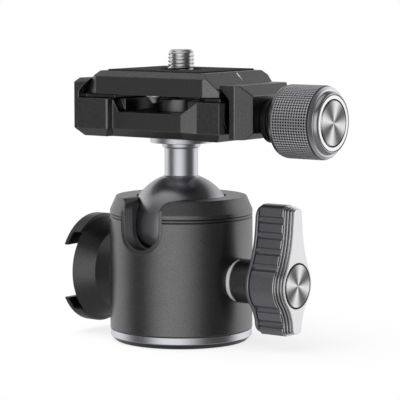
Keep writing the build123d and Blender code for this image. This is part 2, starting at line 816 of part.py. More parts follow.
movable_jaw.part.label = "movable_jaw"
export_step(movable_jaw.part, "parts/movable_jaw.step")

# Guide pins: pressed into the jaw, sliding in the tower
with BuildPart() as guide_pins:
    for place in pin_places:
        rod(pin_start, jaw_inner + pin_in_jaw, pin_radius, knob_height, place)
guide_pins.part.label = "guide_pins"
export_step(guide_pins.part, "parts/guide_pins.step")

# Jaw springs: round-wire coils on the pins, between the pocket's floor and the jaw
spring_start = spring_seat + spring_wire / 2 + fit
spring_end = jaw_inner - spring_wire / 2 - fit
spring_pitch = (spring_end - spring_start) / spring_turns
quarters = 4 * spring_turns
samples_per_quarter = 6
sample_steps = samples_per_quarter * quarters
half_turn = 2 * samples_per_quarter


def coil_point(quarter, across):
    """Where the wire's centre is after some quarter turns, and which way it runs there."""
    turn = quarter * pi / 2
    place = Vector(
        spring_start + spring_pitch * quarter / 4,
        across + spring_radius * cos(turn),
        knob_height + spring_radius * sin(turn),
    )
    run = Vector(spring_pitch / (2 * pi), -spring_radius * sin(turn), spring_radius * cos(turn))
    return place, run.normalized()


def quarter_turn(first, second):
    """Two arcs that leave one point along its run, meet smoothly and reach the next along its own."""
    (start, start_run), (end, end_run) = first, second
    chord = end - start
    spread = 2 * (1 - start_run.dot(end_run))
    lean = chord.dot(start_run + end_run)
    reach = (sqrt(lean**2 + spread * chord.dot(chord)) - lean) / spread
    middle = (start + end + (start_run - end_run) * reach) * 0.5
    TangentArc(start, middle, tangent=start_run)
    TangentArc(middle, end, tangent=-end_run, tangent_from_first=False)


least_gap = spring_pitch
with BuildPart() as jaw_springs:
    for place in pin_places:
        knots = [coil_point(quarter, place) for quarter in range(quarters + 1)]
        with BuildLine() as coil:
            for first, second in zip(knots, knots[1:]):
                quarter_turn(first, second)
        with BuildSketch(Plane(origin=knots[0][0], z_dir=knots[0][1])) as wire_section:
            Circle(spring_wire / 2)
        sweep(wire_section.sketch, path=coil.wire())
        samples = [coil.wire() @ (index / sample_steps) for index in range(sample_steps + 1)]
        for index, near in enumerate(samples):
            for far in samples[index + half_turn:]:
                least_gap = min(least_gap, (far - near).length - spring_wire)
jaw_springs.part.label = "jaw_springs"
export_step(jaw_springs.part, "parts/jaw_springs.step")
print("least gap between the spring's turns:", round(least_gap, 3))

# Clamp screw and the knob on it
with BuildPart() as clamp_screw:
    rod(clamp_screw_start, clamp_screw_end, clamp_screw_radius, knob_height)
clamp_screw.part.label = "clamp_screw"
export_step(clamp_screw.part, "parts/clamp_screw.step")

with BuildPart() as knob_sleeve:
    rod(sleeve_start, knob_start, sleeve_radius, knob_height)
    rod(sleeve_start, knob_start, clamp_screw_radius + press, knob_height, mode=Mode.SUBTRACT)
knob_sleeve.part.label = "knob_sleeve"
export_step(knob_sleeve.part, "parts/knob_sleeve.step")

with BuildPart() as knob_grip:
    with BuildSketch(Plane.XZ):
        with BuildLine():
            Polyline(
                (knob_start, knob_height),
                (knob_start, knob_height + knob_radius - knob_back_bevel),
                (knob_start + knob_back_band, knob_height + knob_radius),
                (knob_end, knob_height + knob_radius),
                (nose_start, knob_height + nose_radius),
                (nose_end, knob_height + knob_lip_radius),
                (nose_end, knob_height + knob_ring_outer + press),
                (nose_start, knob_height + knob_ring_outer + press),
                (nose_start, knob_height),
                close=True,
            )
        make_face()
    revolve(axis=Axis((0, 0, knob_height), (1, 0, 0)))
    screw_room = clamp_screw_end + run_gap
    rod(knob_start, screw_room, clamp_screw_radius + press, knob_height, mode=Mode.SUBTRACT)
knob_grip.part.label = "knob_grip"
export_step(knob_grip.part, "parts/knob_grip.step")

with BuildPart() as knob_ring:
    rod(nose_start, nose_end, knob_ring_outer, knob_height)
    chamfer(knob_ring.edges().filter_by(GeomType.CIRCLE).sort_by(Axis.X)[-1], knob_ring_bevel)
    rod(nose_start, nose_end, knob_ring_inner, knob_height, mode=Mode.SUBTRACT)
knob_ring.part.label = "knob_ring"
export_step(knob_ring.part, "parts/knob_ring.step")

with BuildPart() as knob_disc:
    rod(nose_start, nose_end + knob_disc_proud, knob_ring_inner - press, knob_height)
    chamfer(knob_disc.edges().filter_by(GeomType.CIRCLE).sort_by(Axis.X)[-1], knob_disc_proud)
knob_disc.part.label = "knob_disc"
export_step(knob_disc.part, "parts/knob_disc.step")

# Camera plate: a dovetail plate with cut corners, bevelled ends, a pad recess and screw holes
plate_top_half = plate_half_width - (plate_top - plate_edge_top)
pad_floor = plate_top - pad_recess
head_recess = camera_screw_head_height + 2 * run_gap
pad_half_width = plate_top_half - pad_side_margin
pad_half_length = plate_half_length - pad_end_margin
stop_places = (stop_screw_margin - plate_half_length, plate_half_length - stop_screw_margin)
with BuildPart() as qr_plate:
    with BuildSketch(Plane.XZ):
        with BuildLine():
            Polyline(
                (-plate_half_width, plate_bottom),
                (-plate_half_width, plate_edge_top),
                (-plate_top_half, plate_top),
                (plate_top_half, plate_top),
                (plate_half_width, plate_edge_top),
                (plate_half_width, plate_bottom),
                close=True,
            )
        make_face()
    extrude(amount=plate_half_length, both=True)
    chamfer(qr_plate.edges().filter_by(Axis.X).group_by(Axis.Z)[-1], plate_front_bevel)
    for side in (-1, 1):
        corner_cuts(
            side * plate_half_width, side * (plate_half_width - plate_corner_x),
            plate_half_length, plate_half_length - plate_corner_y,
            plate_bottom - overrun, plate_top + overrun,
        )
    pad_room_x = pad_half_width + fit
    pad_room_y = pad_half_length + fit
    block((-pad_room_x, -pad_room_y, pad_floor), (pad_room_x, pad_room_y, plate_top + overrun),
          mode=Mode.SUBTRACT)
    post(plate_bottom, plate_top, camera_screw_radius + run_gap, mode=Mode.SUBTRACT)
    head_room = camera_screw_head_radius + run_gap
    post(plate_bottom, plate_bottom + head_recess, head_room, mode=Mode.SUBTRACT)
    for place in stop_places:
        hole_top = plate_bottom + stop_screw_length + run_gap
        post(plate_bottom, hole_top, stop_screw_radius + press, y=place, mode=Mode.SUBTRACT)
qr_plate.part.label = "qr_plate"
export_step(qr_plate.part, "parts/qr_plate.step")

# Rubber pad: a sheet in the plate's recess, with a hole round the camera screw
pad_top = plate_top + pad_proud
clip_radius = camera_screw_radius + clip_width
pad_hole_radius = clip_radius + pad_hole_clear
clip_bottom = pad_floor + run_gap
camera_shank_radius = camera_screw_radius - camera_shank_step
with BuildPart() as rubber_pad:
    block((-pad_half_width, -pad_half_length, pad_floor), (pad_half_width, pad_half_length, pad_top))
    post(pad_floor, pad_top + overrun, pad_hole_radius, mode=Mode.SUBTRACT)
rubber_pad.part.label = "rubber_pad"
export_step(rubber_pad.part, "parts/rubber_pad.step")

# Stop screws: low round heads under the plate that keep it from sliding out of the clamp
with BuildPart() as stop_screws:
    for place in stop_places:
        post(plate_bottom, plate_bottom + stop_screw_length, stop_screw_radius, y=place)
        with Locations((0, place, plate_bottom - stop_screw_head_height)):
            Cone(
                stop_screw_radius / 2, stop_screw_head_radius, stop_screw_head_height,
                align=(Align.CENTER, Align.CENTER, Align.MIN),
            )
stop_screws.part.label = "stop_screws"
export_step(stop_screws.part, "parts/stop_screws.step")

# Camera screw: a slotted head under the plate, a reduced shank and a 1/4 inch thread above the clip
head_bottom = plate_bottom + run_gap
head_seat = head_bottom + camera_screw_head_height
shank_top = clip_bottom + clip_thickness + fit
screw_top = plate_top + camera_screw_proud
with BuildPart() as camera_screw:
    post(head_bottom, head_seat, camera_screw_head_radius)
    post(head_seat, shank_top, camera_shank_radius)
    post(shank_top, screw_top, camera_screw_radius)
    chamfer(camera_screw.edges().filter_by(GeomType.CIRCLE).sort_by(Axis.Z)[-1], camera_screw_bevel)
    block(
        (-camera_screw_head_radius, -coin_slot_width / 2, head_bottom - overrun),
        (camera_screw_head_radius, coin_slot_width / 2, head_bottom + coin_slot_depth),
        mode=Mode.SUBTRACT,
    )
camera_screw.part.label = "camera_screw"
export_step(camera_screw.part, "parts/camera_screw.step")

# Screw clip: an open ring on the screw's shank, above the plate
with BuildPart() as screw_clip:
    post(clip_bottom, clip_bottom + clip_thickness, clip_radius)
    post(clip_bottom, pad_top, camera_shank_radius + press, mode=Mode.SUBTRACT)
    block(
        (0, -camera_shank_radius / 2, clip_bottom),
        (clip_radius + overrun, camera_shank_radius / 2, pad_top),
        mode=Mode.SUBTRACT,
    )
screw_clip.part.label = "screw_clip"
export_step(screw_clip.part, "parts/screw_clip.step")
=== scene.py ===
from math import cos, pi, radians, sin

import bmesh
import bpy
import numpy as np
from mathutils import Matrix, Vector


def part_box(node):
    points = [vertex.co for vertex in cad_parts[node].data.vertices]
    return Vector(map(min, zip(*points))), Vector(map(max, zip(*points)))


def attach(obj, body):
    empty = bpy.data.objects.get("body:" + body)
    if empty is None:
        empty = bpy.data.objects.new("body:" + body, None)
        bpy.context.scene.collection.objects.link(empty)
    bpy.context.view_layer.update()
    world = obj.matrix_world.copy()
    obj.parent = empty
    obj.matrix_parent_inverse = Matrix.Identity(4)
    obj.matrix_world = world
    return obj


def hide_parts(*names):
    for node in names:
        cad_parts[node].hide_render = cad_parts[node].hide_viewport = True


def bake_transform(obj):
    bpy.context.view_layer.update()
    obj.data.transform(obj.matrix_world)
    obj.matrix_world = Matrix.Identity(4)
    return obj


# A small ball head for a camera tripod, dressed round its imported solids. Sizes here are millimetres,
# in the solids' own frame: Z up, the lever and the clamp's knob along +X, the drop notch towards -Y.
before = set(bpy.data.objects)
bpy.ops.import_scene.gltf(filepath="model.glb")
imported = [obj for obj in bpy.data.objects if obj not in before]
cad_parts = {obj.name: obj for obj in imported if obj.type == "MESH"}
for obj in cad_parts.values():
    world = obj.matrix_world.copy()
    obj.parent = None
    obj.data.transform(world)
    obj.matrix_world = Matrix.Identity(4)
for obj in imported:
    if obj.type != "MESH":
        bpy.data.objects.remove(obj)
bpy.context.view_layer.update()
mm = 0.001


# Base: a turned aluminium disc that closes the housing from below and stands on the tripod. Its band
# is polished, its foot bevel is anodised black, and a spigot above it screws into the housing.
class Signal:
    """A shader socket. Sums and products on it add Math nodes, and node() adds any other kind."""

    def __init__(self, tree, socket=None):
        self.tree = tree
        self.socket = socket

    def node(self, kind, inputs, output=0, stops=None, **settings):
        """Adds a node: its settings come first, then the values or links of its sockets."""
        made = self.tree.nodes.new(kind)
        for key, value in settings.items():
            setattr(made, key, value)
        if stops:
            ramp = made.color_ramp.elements
            for place, _ in stops[1:-1]:
                ramp.new(place)
            for element, (_, level) in zip(ramp, stops):
                element.color = grey(level)
        for key, value in inputs.items():
            if isinstance(value, Signal):
                self.tree.links.new(value.socket, made.inputs[key])
            else:
                made.inputs[key].default_value = value
        return Signal(self.tree, made.outputs[output] if made.outputs else None)

    def math(self, operation, *values):
        """Adds a Math node on values or links."""
        return self.node("ShaderNodeMath", dict(enumerate(values)), operation=operation)

    def __add__(self, other):
        return self.math("ADD", self, other)

    def __sub__(self, other):
        return self.math("SUBTRACT", self, other)

    def __rsub__(self, other):
        return self.math("SUBTRACT", other, self)

    def __mul__(self, other):
        return self.math("MULTIPLY", self, other)

    __radd__ = __add__
    __rmul__ = __mul__

    def above(self, level, width):
        """0 below a level and 1 above it, with a soft step of that width."""
        return self.node("ShaderNodeMapRange", {0: self, 1: level - width / 2, 2: level + width / 2})

    def mix(self, low, high):
        """One colour where this is 0 and another where it is 1."""
        return self.node("ShaderNodeMix", {0: self, 6: low, 7: high}, output=2, data_type="RGBA")

    def noise(self, size, detail=2.0, stretch=(1.0, 1.0, 1.0)):
        """Cloudy noise whose grains are about that many millimetres wide, drawn out along some axes."""
        place = self.node("ShaderNodeTexCoord", {}, output="Object")
        place = self.node("ShaderNodeMapping", {"Vector": place, "Scale": stretch})
        scale = 1 / (size * mm)
        return self.node("ShaderNodeTexNoise", {"Vector": place, "Scale": scale, "Detail": detail})

    def along(self, axis):
        """Distance along one axis of the object's frame, in millimetres."""
        place = self.node("ShaderNodeTexCoord", {}, output="Object")
        return self.node("ShaderNodeSeparateXYZ", {0: place}, output=axis) * (1 / mm)

    def bump(self, strength, distance=0.02):
        """A normal that follows this as a height, over a distance in millimetres."""
        inputs = {"Height": self, "Strength": strength, "Distance": distance * mm}
        return self.node("ShaderNodeBump", inputs)

    def surface(self, colour, roughness, metallic=0.0, normal=None):
        """The finished shader, with a bumped normal where one is given."""
        inputs = {"Base Color": colour, "Roughness": roughness, "Metallic": metallic}
        if normal:
            inputs["Normal"] = normal
        return self.node("ShaderNodeBsdfPrincipled", inputs)


def material(name, build):
    """A material whose shader is made by the given function from an empty node tree."""
    made = bpy.data.materials.new(name)
    made.use_nodes = True
    made.node_tree.nodes.clear()
    start = Signal(made.node_tree)
    start.node("ShaderNodeOutputMaterial", {"Surface": build(start)})
    return made


def grey(level, tint=(1.0, 1.0, 1.0)):
    """An opaque colour from a linear level and a tint."""
    return (level * tint[0], level * tint[1], level * tint[2], 1.0)


def span(node):
    """A solid's lowest and highest corners in millimetres."""
    low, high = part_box(node)
    return np.array(low) / mm, np.array(high) / mm


def rounded(corners, radius, steps=5, closed=True):
    """A profile through the corners. Each corner becomes a short parabola between points at the radius
    along its two sides, with a guard point beyond each end that keeps the flats flat."""
    side_share = 0.42
    guard = 1.15
    corner = np.array(corners, float)
    radius = np.broadcast_to(np.asarray(radius, float), len(corner))
    before = np.roll(corner, 1, axis=0) - corner
    after = np.roll(corner, -1, axis=0) - corner
    reach = np.minimum(np.linalg.norm(before, axis=1), np.linalg.norm(after, axis=1)) * side_share
    cut = np.minimum(radius, reach)[:, None]
    before /= np.linalg.norm(before, axis=1)[:, None]
    after /= np.linalg.norm(after, axis=1)[:, None]
    t = np.linspace(0, 1, steps)[None, :, None]
    arc = corner[:, None] + cut[:, None] * (before[:, None] * (1 - t) ** 2 + after[:, None] * t**2)
    guard_before = (corner + before * cut * guard)[:, None]
    guard_after = (corner + after * cut * guard)[:, None]
    bends = np.concatenate([guard_before, arc, guard_after], axis=1)
    if closed:
        return bends.reshape(-1, 2)
    return np.vstack([corner[:1], bends[1:-1].reshape(-1, 2), corner[-1:]])


def lathe(profile, axis="Z", centre=(0.0, 0.0), count=160):
    """A surface of revolution: each profile point (radius, place) turned about an axis through centre."""
    angle = np.linspace(0, 2 * pi, count, endpoint=False)[:, None]
    radius, place = np.asarray(profile, float).T
    first = centre[0] + radius * np.cos(angle)
    second = centre[1] + radius * np.sin(angle)
    place = np.broadcast_to(place, first.shape)
    layers = (first, second, place) if axis == "Z" else (place, first, second)
    return np.stack(layers, axis=-1)


def skin(name, grids, look, body, nodes, painted_light_values=None):
    """One piece from grids of points in millimetres. A grid's rows close on themselves, and so do its
    columns where it is marked; equal points are merged, which closes seams and poles. Painted light values
    are values at the points, kept for the material, which paints highlights and shade from them."""
    places, faces, offset = [], [], 0
    for grid, closed in grids:
        index = np.arange(grid.shape[0] * grid.shape[1]).reshape(grid.shape[:2]) + offset
        offset += index.size
        index = np.vstack([index, index[:1]])
        if closed:
            index = np.hstack([index, index[:, :1]])
        quads = np.stack([index[:-1, :-1], index[1:, :-1], index[1:, 1:], index[:-1, 1:]], axis=-1)
        places.append(grid.reshape(-1, 3) * mm)
        faces.append(quads.reshape(-1, 4))
    mesh = bpy.data.meshes.new(name)
    mesh.from_pydata(np.concatenate(places), [], np.concatenate(faces))
    if painted_light_values is not None:
        mesh.attributes.new("painted_light", "FLOAT", "POINT").data.foreach_set("value", painted_light_values.ravel())
    return dress(name, mesh, look, body, nodes)


def dress(name, mesh, look, body, nodes):
    """Merges a mesh's doubles, turns its faces outwards, shades it smooth and sets it on its body in
    place of its solids."""
    merge_distance = 0.0005 * mm
    shortest_edge = 0.0002 * mm
    work = bmesh.new()
    work.from_mesh(mesh)
    bmesh.ops.remove_doubles(work, verts=work.verts, dist=merge_distance)
    bmesh.ops.dissolve_degenerate(work, edges=work.edges, dist=shortest_edge)
    bmesh.ops.recalc_face_normals(work, faces=work.faces)
    work.to_mesh(mesh)
    work.free()
    mesh.shade_smooth()
    piece = bpy.data.objects.new(name, mesh)
    bpy.context.scene.collection.objects.link(piece)
    mesh.materials.clear()
    mesh.materials.append(look)
    if body:
        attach(piece, body)
    if nodes:
        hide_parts(*nodes)
    return piece


base_high = span("base_plate")[1]
base_radius = base_high[0]
base_bevel = 1.2
base_top = span("housing")[0][2]
seat_gap = 0.02
bore = span("reducer_bush")[1][0] + seat_gap
housing_radius = span("housing")[1][0]
housing_wall = 3.42
spigot = housing_radius - housing_wall
base_profile = rounded([
    (bore, 0), (base_radius - base_bevel, 0), (base_radius, base_bevel), (base_radius, base_top),
    (spigot, base_top), (spigot, base_high[2]), (bore, base_high[2]),
], 0.12)


def base_metal(start):
    """Polished band with turning lines, and a black anodised bevel below it."""
    tint = (0.98, 0.99, 1.04)
    dark_edge_width = 0.1
    foot = 1 - start.along("Z").above(base_bevel - dark_edge_width / 2, dark_edge_width)
    lines = start.noise(1.0, detail=3.0, stretch=(1.0, 1.0, 14.0))
    colour = foot.mix(grey(0.72, tint), grey(0.1))
    return start.surface(colour, 0.26 + foot * 0.1 + (lines - 0.5) * 0.08, 1.0, lines.bump(0.12))


base_look = material("polished base", base_metal)
skin("base_ring", [(lathe(base_profile), True)], base_look, "base", ["base_plate"])


# Small inner hardware: the steel reducer bush, the disc spring, the stud, the pins and the screws are
# plain turned steel; the seats are moulded in dark bearing plastic and the wedge is brass.
def turned(start, colour, roughness, axis, depth):
    """Lathe-turned metal: fine lines across the turning axis in the bump, and patchy gloss."""
    line_width = 0.08
    patch_size = 3.0
    stretch = [1.0, 1.0, 1.0]
    stretch["XYZ".index(axis)] = 1 / line_width
    lines = start.noise(1.0, detail=3.0, stretch=tuple(stretch))
    patches = start.noise(patch_size)
    gloss = roughness + (patches - 0.5) * (roughness * 0.5)
    return start.surface(colour, gloss, 1.0, lines.bump(depth))


def grained(start, low, high, roughness, spread, metallic=0.0, grain=0.12, detail=3.0, depth=0.08,
            relief=0.02):
    """An even surface with a fine grain, which runs from a low to a high colour, spreads the roughness and
    stands up in the bump."""
    pits = start.noise(grain, detail)
    return start.surface(pits.mix(low, high), roughness + pits * spread, metallic, pits.bump(depth, relief))


def steel(start):
    """Bright steel, turned about Z."""
    return turned(start, grey(0.55), 0.3, "Z", 0.1)


def dark_steel(start):
    """Blackened steel, turned about X."""
    return turned(start, grey(0.06), 0.4, "X", 0.1)


def brass(start):
    """Yellow brass, turned about X."""
    return turned(start, (0.6, 0.42, 0.16, 1.0), 0.3, "X", 0.1)


def seat_plastic(start):
    """Dark bearing plastic with a faint moulded grain."""
    tint = (0.97, 0.97, 1.06)
    return grained(start, grey(0.035, tint), grey(0.045, tint), 0.42, 0.1, detail=2.0, depth=0.1)


steel_look = material("turned steel", steel)
dark_steel_look = material("blackened steel", dark_steel)
seat_look = material("bearing plastic", seat_plastic)
plain_solids = {
    "reducer_bush": steel_look, "spring_washer": steel_look, "lock_stud": steel_look,
    "guide_pins": dark_steel_look, "clamp_screw": steel_look, "shoe_screws": dark_steel_look,
    "centre_screw": dark_steel_look, "screw_clip": dark_steel_look,
    "lock_pusher": material("turned brass", brass), "friction_ring": seat_look, "ball_cup": seat_look,
}
for node, look in plain_solids.items():
    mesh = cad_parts[node].data
    mesh.materials.clear()
    mesh.materials.append(look)


# Housing: a turned aluminium cup with the drop notch milled into its front, blasted and anodised a
# dark grey. Blasting rolls every edge over a little, and two fine turned lines mark off the rim.
def softened(node, name, look, body, width):
    """A copy of a solid with its sharp edges rolled over by a narrow bevel of that width."""
    merge_distance = 0.001 * mm
    flat_limit = radians(0.5)
    sharp_limit = radians(15)
    mesh = bpy.data.meshes.new(name)
    work = bmesh.new()
    work.from_mesh(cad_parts[node].data)
    bmesh.ops.remove_doubles(work, verts=work.verts, dist=merge_distance)
    bmesh.ops.dissolve_limit(work, angle_limit=flat_limit, verts=work.verts, edges=work.edges)
    work.to_mesh(mesh)
    work.free()
    if "custom_normal" in mesh.attributes:
        mesh.attributes.remove(mesh.attributes["custom_normal"])
    piece = dress(name, mesh, look, body, [node])
    bevel = piece.modifiers.new("rolled edges", "BEVEL")
    bevel.width = width * mm
    bevel.segments = 3
    bevel.limit_method = "ANGLE"
    bevel.angle_limit = sharp_limit
    bevel.use_clamp_overlap = False
    bevel.loop_slide = False
    bevel.miter_outer = "MITER_ARC"
    flats = piece.modifiers.new("flat faces", "WEIGHTED_NORMAL")
    flats.weight = 100
    return piece


def true_round(piece, wall):
    """Settles a piece's bevels, and points its normals straight away from Z wherever its faces follow a
    wall of that radius, so that the long facets below the notch run smoothly into each other."""
    wall_tolerance = 0.02 * mm
    least_cosine = 0.97
    settled = piece.evaluated_get(bpy.context.evaluated_depsgraph_get())
    mesh = bpy.data.meshes.new_from_object(settled)
    place = np.empty(len(mesh.vertices) * 3)
    mesh.vertices.foreach_get("co", place)
    corner = np.empty(len(mesh.loops), int)
    mesh.loops.foreach_get("vertex_index", corner)
    normal = np.empty(len(mesh.loops) * 3)
    mesh.corner_normals.foreach_get("vector", normal)
    normal = normal.reshape(-1, 3)
    outward = place.reshape(-1, 3)[corner] * (1, 1, 0)
    radius = np.linalg.norm(outward, axis=1)
    outward /= np.maximum(radius, mm)[:, None]
    near_wall = np.abs(radius - wall * mm) < wall_tolerance
    on_wall = near_wall & ((normal * outward).sum(axis=1) > least_cosine)
    normal[on_wall] = outward[on_wall]
    mesh.normals_split_custom_set(normal)
    piece.modifiers.clear()
    piece.data = mesh


def blasted(start, colour, roughness, metallic, grain=0.16, depth=0.25, bright=None):
    """Bead-blasted and anodised aluminium: fine pits in the bump, and slightly cloudy dye. Where a bright
    mask is given, a pale, glossier highlight is painted there."""
    cloud_size = 4.0
    dull_share = 0.66
    painted_highlight_level = 0.88
    painted_highlight_roughness = 0.15
    pits = start.noise(grain, detail=3.0)
    clouds = start.noise(cloud_size, detail=3.0)
    dull = (*(value * dull_share for value in colour[:3]), 1.0)
    tone_and_painted_light = (clouds * 0.3 + pits.above(0.5, 0.25) * 0.7).mix(dull, colour)
    satin = roughness + (pits - 0.5) * 0.12
    # Painted highlight: pale, glossier colour where the bright mask is set.
    if bright:
        tone_and_painted_light = bright.mix(tone_and_painted_light, grey(painted_highlight_level))
        satin = satin - bright * (roughness - painted_highlight_roughness)
    return start.surface(tone_and_painted_light, satin, metallic, pits.bump(depth, 0.03))


def housing_grey(start):
    """Dark grey anodise with a clear grain."""
    return blasted(start, grey(0.22), 0.33, 1.0, grain=0.24)


housing_look = material("dark grey anodise", housing_grey)
shell = softened("housing", "housing_shell", housing_look, "base", 0.18)
true_round(shell, housing_radius)


# Lock bush and lever collar: an etched aluminium bush is screwed into the housing's side, and its flange
# shows as a bright crescent. The collar on the lever's stud is turned and anodised like the housing.
def frosted(start):
    """Etched, almost white aluminium with a soft sheen."""
    return grained(start, grey(0.76), grey(0.86), 0.4, 0.1, metallic=0.2, grain=0.1)


collar_low, collar_high = span("lever_boss")
collar_radius = collar_high[1]
lever_height = (collar_low[2] + collar_high[2]) / 2
lever_axis = (0.0, lever_height)
stud_radius = span("lock_stud")[1][1]
bush_low, bush_high = span("lock_bush")
bush_flange = bush_high[1]
bush_radius = bush_flange - 0.5
bush_bore = stud_radius + 0.05
flange_back = 16.2
bush_profile = rounded([
    (bush_bore, bush_low[0]), (bush_radius, bush_low[0]), (bush_radius, flange_back),
    (bush_flange, flange_back), (bush_flange, bush_high[0]), (bush_bore, bush_high[0]),
], 0.15)
bush_look = material("frosted aluminium", frosted)
bush_grid = lathe(bush_profile, "X", lever_axis)
skin("silver_bush", [(bush_grid, True)], bush_look, "base", ["lock_bush"])

collar_bore = stud_radius + seat_gap
collar_profile = rounded([
    (collar_bore, collar_low[0]), (collar_radius, collar_low[0]), (collar_radius, collar_high[0]),
    (collar_bore, collar_high[0]),
], 0.3)
collar_grid = lathe(collar_profile, "X", lever_axis)
skin("lever_collar", [(collar_grid, True)], housing_look, "lever", ["lever_boss"])

# Lever grip: a cast and machined lever, anodised a bluish dark grey, with a long and a short wing. It has
# a thin back layer behind a dark groove, flutes across its flanks and three ridges stepping up to the face.
lever_low, lever_high = span("lever_grip")
hub_radius = lever_high[1]
long_wing = lever_high[2] - lever_height
short_wing = lever_height - lever_low[2]
root_width = 8.6
tip_width = 5.1
tip_corner = 2.0
long_fillet = 24.0
short_fillet = 9.0
flute_pitch = 3.58
long_flutes = 4.4 + flute_pitch * np.arange(4)
short_flutes = -5.5 - flute_pitch * np.arange(2)
flutes = np.concatenate([long_flutes, short_flutes])
flute_radius = 0.95
flute_depth = 0.6


def wing(along, length, fillet, inset):
    """Half the lever's width along one wing, drawn in by the inset: the hub's circle, then a fillet arc
    that touches both the circle and the wing's side, then the side's straight taper."""
    lean = (tip_width - root_width) / 2 / length
    slope = np.hypot(1, lean)
    hub = hub_radius - inset
    bend = fillet + inset
    root = root_width / 2 - inset * slope
    outer = root + bend * slope
    reach = hub + bend
    centre = (np.sqrt(slope**2 * reach**2 - outer**2) - outer * lean) / slope**2
    circle = np.sqrt(np.maximum(hub**2 - along**2, 0))
    arc = outer + lean * centre - np.sqrt(np.maximum(bend**2 - (along - centre) ** 2, 0))
    half = np.where(along < centre * hub / reach, circle, arc)
    return np.where(along < centre + bend * lean / slope, half, root + lean * along)


def lever_outline(inset, short=0.0):
    """The lever seen along its axis, as points (across, along, flute) round it. Its sides are the two
    wings' half widths, and each tip is a flat between two quarter circles; short draws the tips in further.
    The flute value is how deep a flute cuts there: the height of a circle's segment, 1 at its middle."""
    side_points, corner_points, tip_points = 440, 14, 5
    least_corner = 0.4
    corner = max(tip_corner - inset + short, least_corner)
    tip = inset + corner + short
    along = np.linspace(tip - short_wing, long_wing - tip, side_points)
    up = wing(np.abs(along), long_wing, long_fillet, inset)
    down = wing(np.abs(along), short_wing, short_fillet, inset)
    half = np.where(along > 0, up, down)
    offset = np.abs(along[:, None] - flutes).min(axis=1)
    cut = np.sqrt(np.maximum(flute_radius**2 - offset**2, 0)) - (flute_radius - flute_depth)
    cut = np.maximum(cut, 0) / flute_depth
    turn = np.linspace(0, pi / 2, corner_points)[1:]
    across = np.linspace(1, 0, tip_points)[1:]
    tips = []
    for end, way in ((0, -1), (-1, 1)):
        flat = half[end] - corner
        arc = np.stack([flat + corner * np.cos(turn), along[end] + way * corner * np.sin(turn)], axis=1)
        edge = np.stack([flat * across, np.full(len(across), along[end] + way * corner)], axis=1)
        tips.append(np.insert(np.vstack([arc, edge]), 2, 0, axis=1))
    side = np.vstack([tips[0][::-1], np.stack([half, along, cut], axis=1), tips[1]])
    return np.vstack([side, side[-2:0:-1] * (-1, 1, 1)])


def lever_body(profile):
    """A closed body from layers of the lever's outline. A profile row gives a place along the axis, an
    inset, how far the flutes cut in there and how much shorter the tips are. Each end closes on the
    outline's middle line."""
    layers = []
    for place, inset, depth, short in profile:
        across, along, flute = lever_outline(inset, short).T
        across = across - np.sign(across) * flute * depth
        layers.append(np.stack([np.full(len(along), place), across, along], axis=1))
    grid = np.stack(layers, axis=1)
    grid = np.concatenate([grid[:, :1] * (1, 0, 1), grid, grid[:, -1:] * (1, 0, 1)], axis=1)
    return grid + (0, 0, lever_height)


def lever_grey(start):
    """Blue grey anodise, with a pale highlight painted along the cut edges of the ridges."""
    tint = (0.97, 0.97, 1.04)
    bright = start.node("ShaderNodeAttribute", {}, output="Fac", attribute_name="painted_light")
    return blasted(start, grey(0.46, tint), 0.38, 1.0, depth=0.12, bright=bright)


back_end = lever_low[0] + 0.9
back_inset = 1.4
back_corner = 0.25
back_tip = back_end - 0.04
tip_setback = 0.75
flank_end = lever_high[0] - 2.1
grip_inset = 0.35
groove = grip_inset + flute_depth
groove_wall = 0.1
groove_end = back_end + 0.02
flank_start = groove_end + groove_wall
cut_width = 0.13
cut_gap = 0.02
cut_reach = 0.03
ridge_pitch = 0.7
ridge_foot = 0.2
ridge_top = 0.26
ridge_cut = 0.34
ridge_end = 0.52
first_crest = 0.48
crest_step = 0.2
valley_step = 0.15
ridge_corner = 0.04
face_inset = 2.2
ridge_starts = flank_end + ridge_pitch * np.arange(3)
flank_cut = flank_end - cut_width - cut_gap
grip_corners = [
    (lever_low[0], back_inset), (lever_low[0], 0.0), (back_end - groove_wall, 0.0), (back_end, groove),
    (groove_end, groove), (flank_start, grip_inset), (flank_cut, grip_inset),
    (flank_cut + cut_width, grip_inset + cut_width), (flank_end, groove),
]
for step, begin in enumerate(ridge_starts):
    crest = first_crest + crest_step * step
    valley = groove + valley_step * step
    grip_corners += [
        (begin + ridge_foot, valley), (begin + ridge_top, crest), (begin + ridge_cut, crest),
        (begin + ridge_cut + cut_width, crest + cut_width), (begin + ridge_end, valley + valley_step),
    ]
grip_corners.append((lever_high[0], face_inset))
corner_radii = [back_corner] * 3 + [ridge_corner] * (len(grip_corners) - 3)
grip_layers = rounded(grip_corners, corner_radii, steps=4, closed=False)
place = grip_layers[:, 0]
depth = np.interp(
    place, [groove_end, flank_start, flank_cut, flank_end - cut_gap, flank_end],
    [0, flute_depth, flute_depth, groove - grip_inset - cut_width, 0],
)
short = np.where(place < back_tip, tip_setback, 0.0)
cut_starts = [flank_cut, *(ridge_starts + ridge_cut)]
# The band round each cut edge is marked for the material, which paints a highlight there.
painted_light = sum((place > cut - cut_reach) & (place < cut + cut_width + cut_reach) for cut in cut_starts)
grip_grid = lever_body(np.column_stack([grip_layers, depth, short]))
painted_light = np.broadcast_to(np.pad(painted_light.astype(float), 1), grip_grid.shape[:2])
lever_look = material("blue grey anodise", lever_grey)
skin("fluted_lever", [(grip_grid, False)], lever_look, "lever", ["lever_grip"], painted_light)


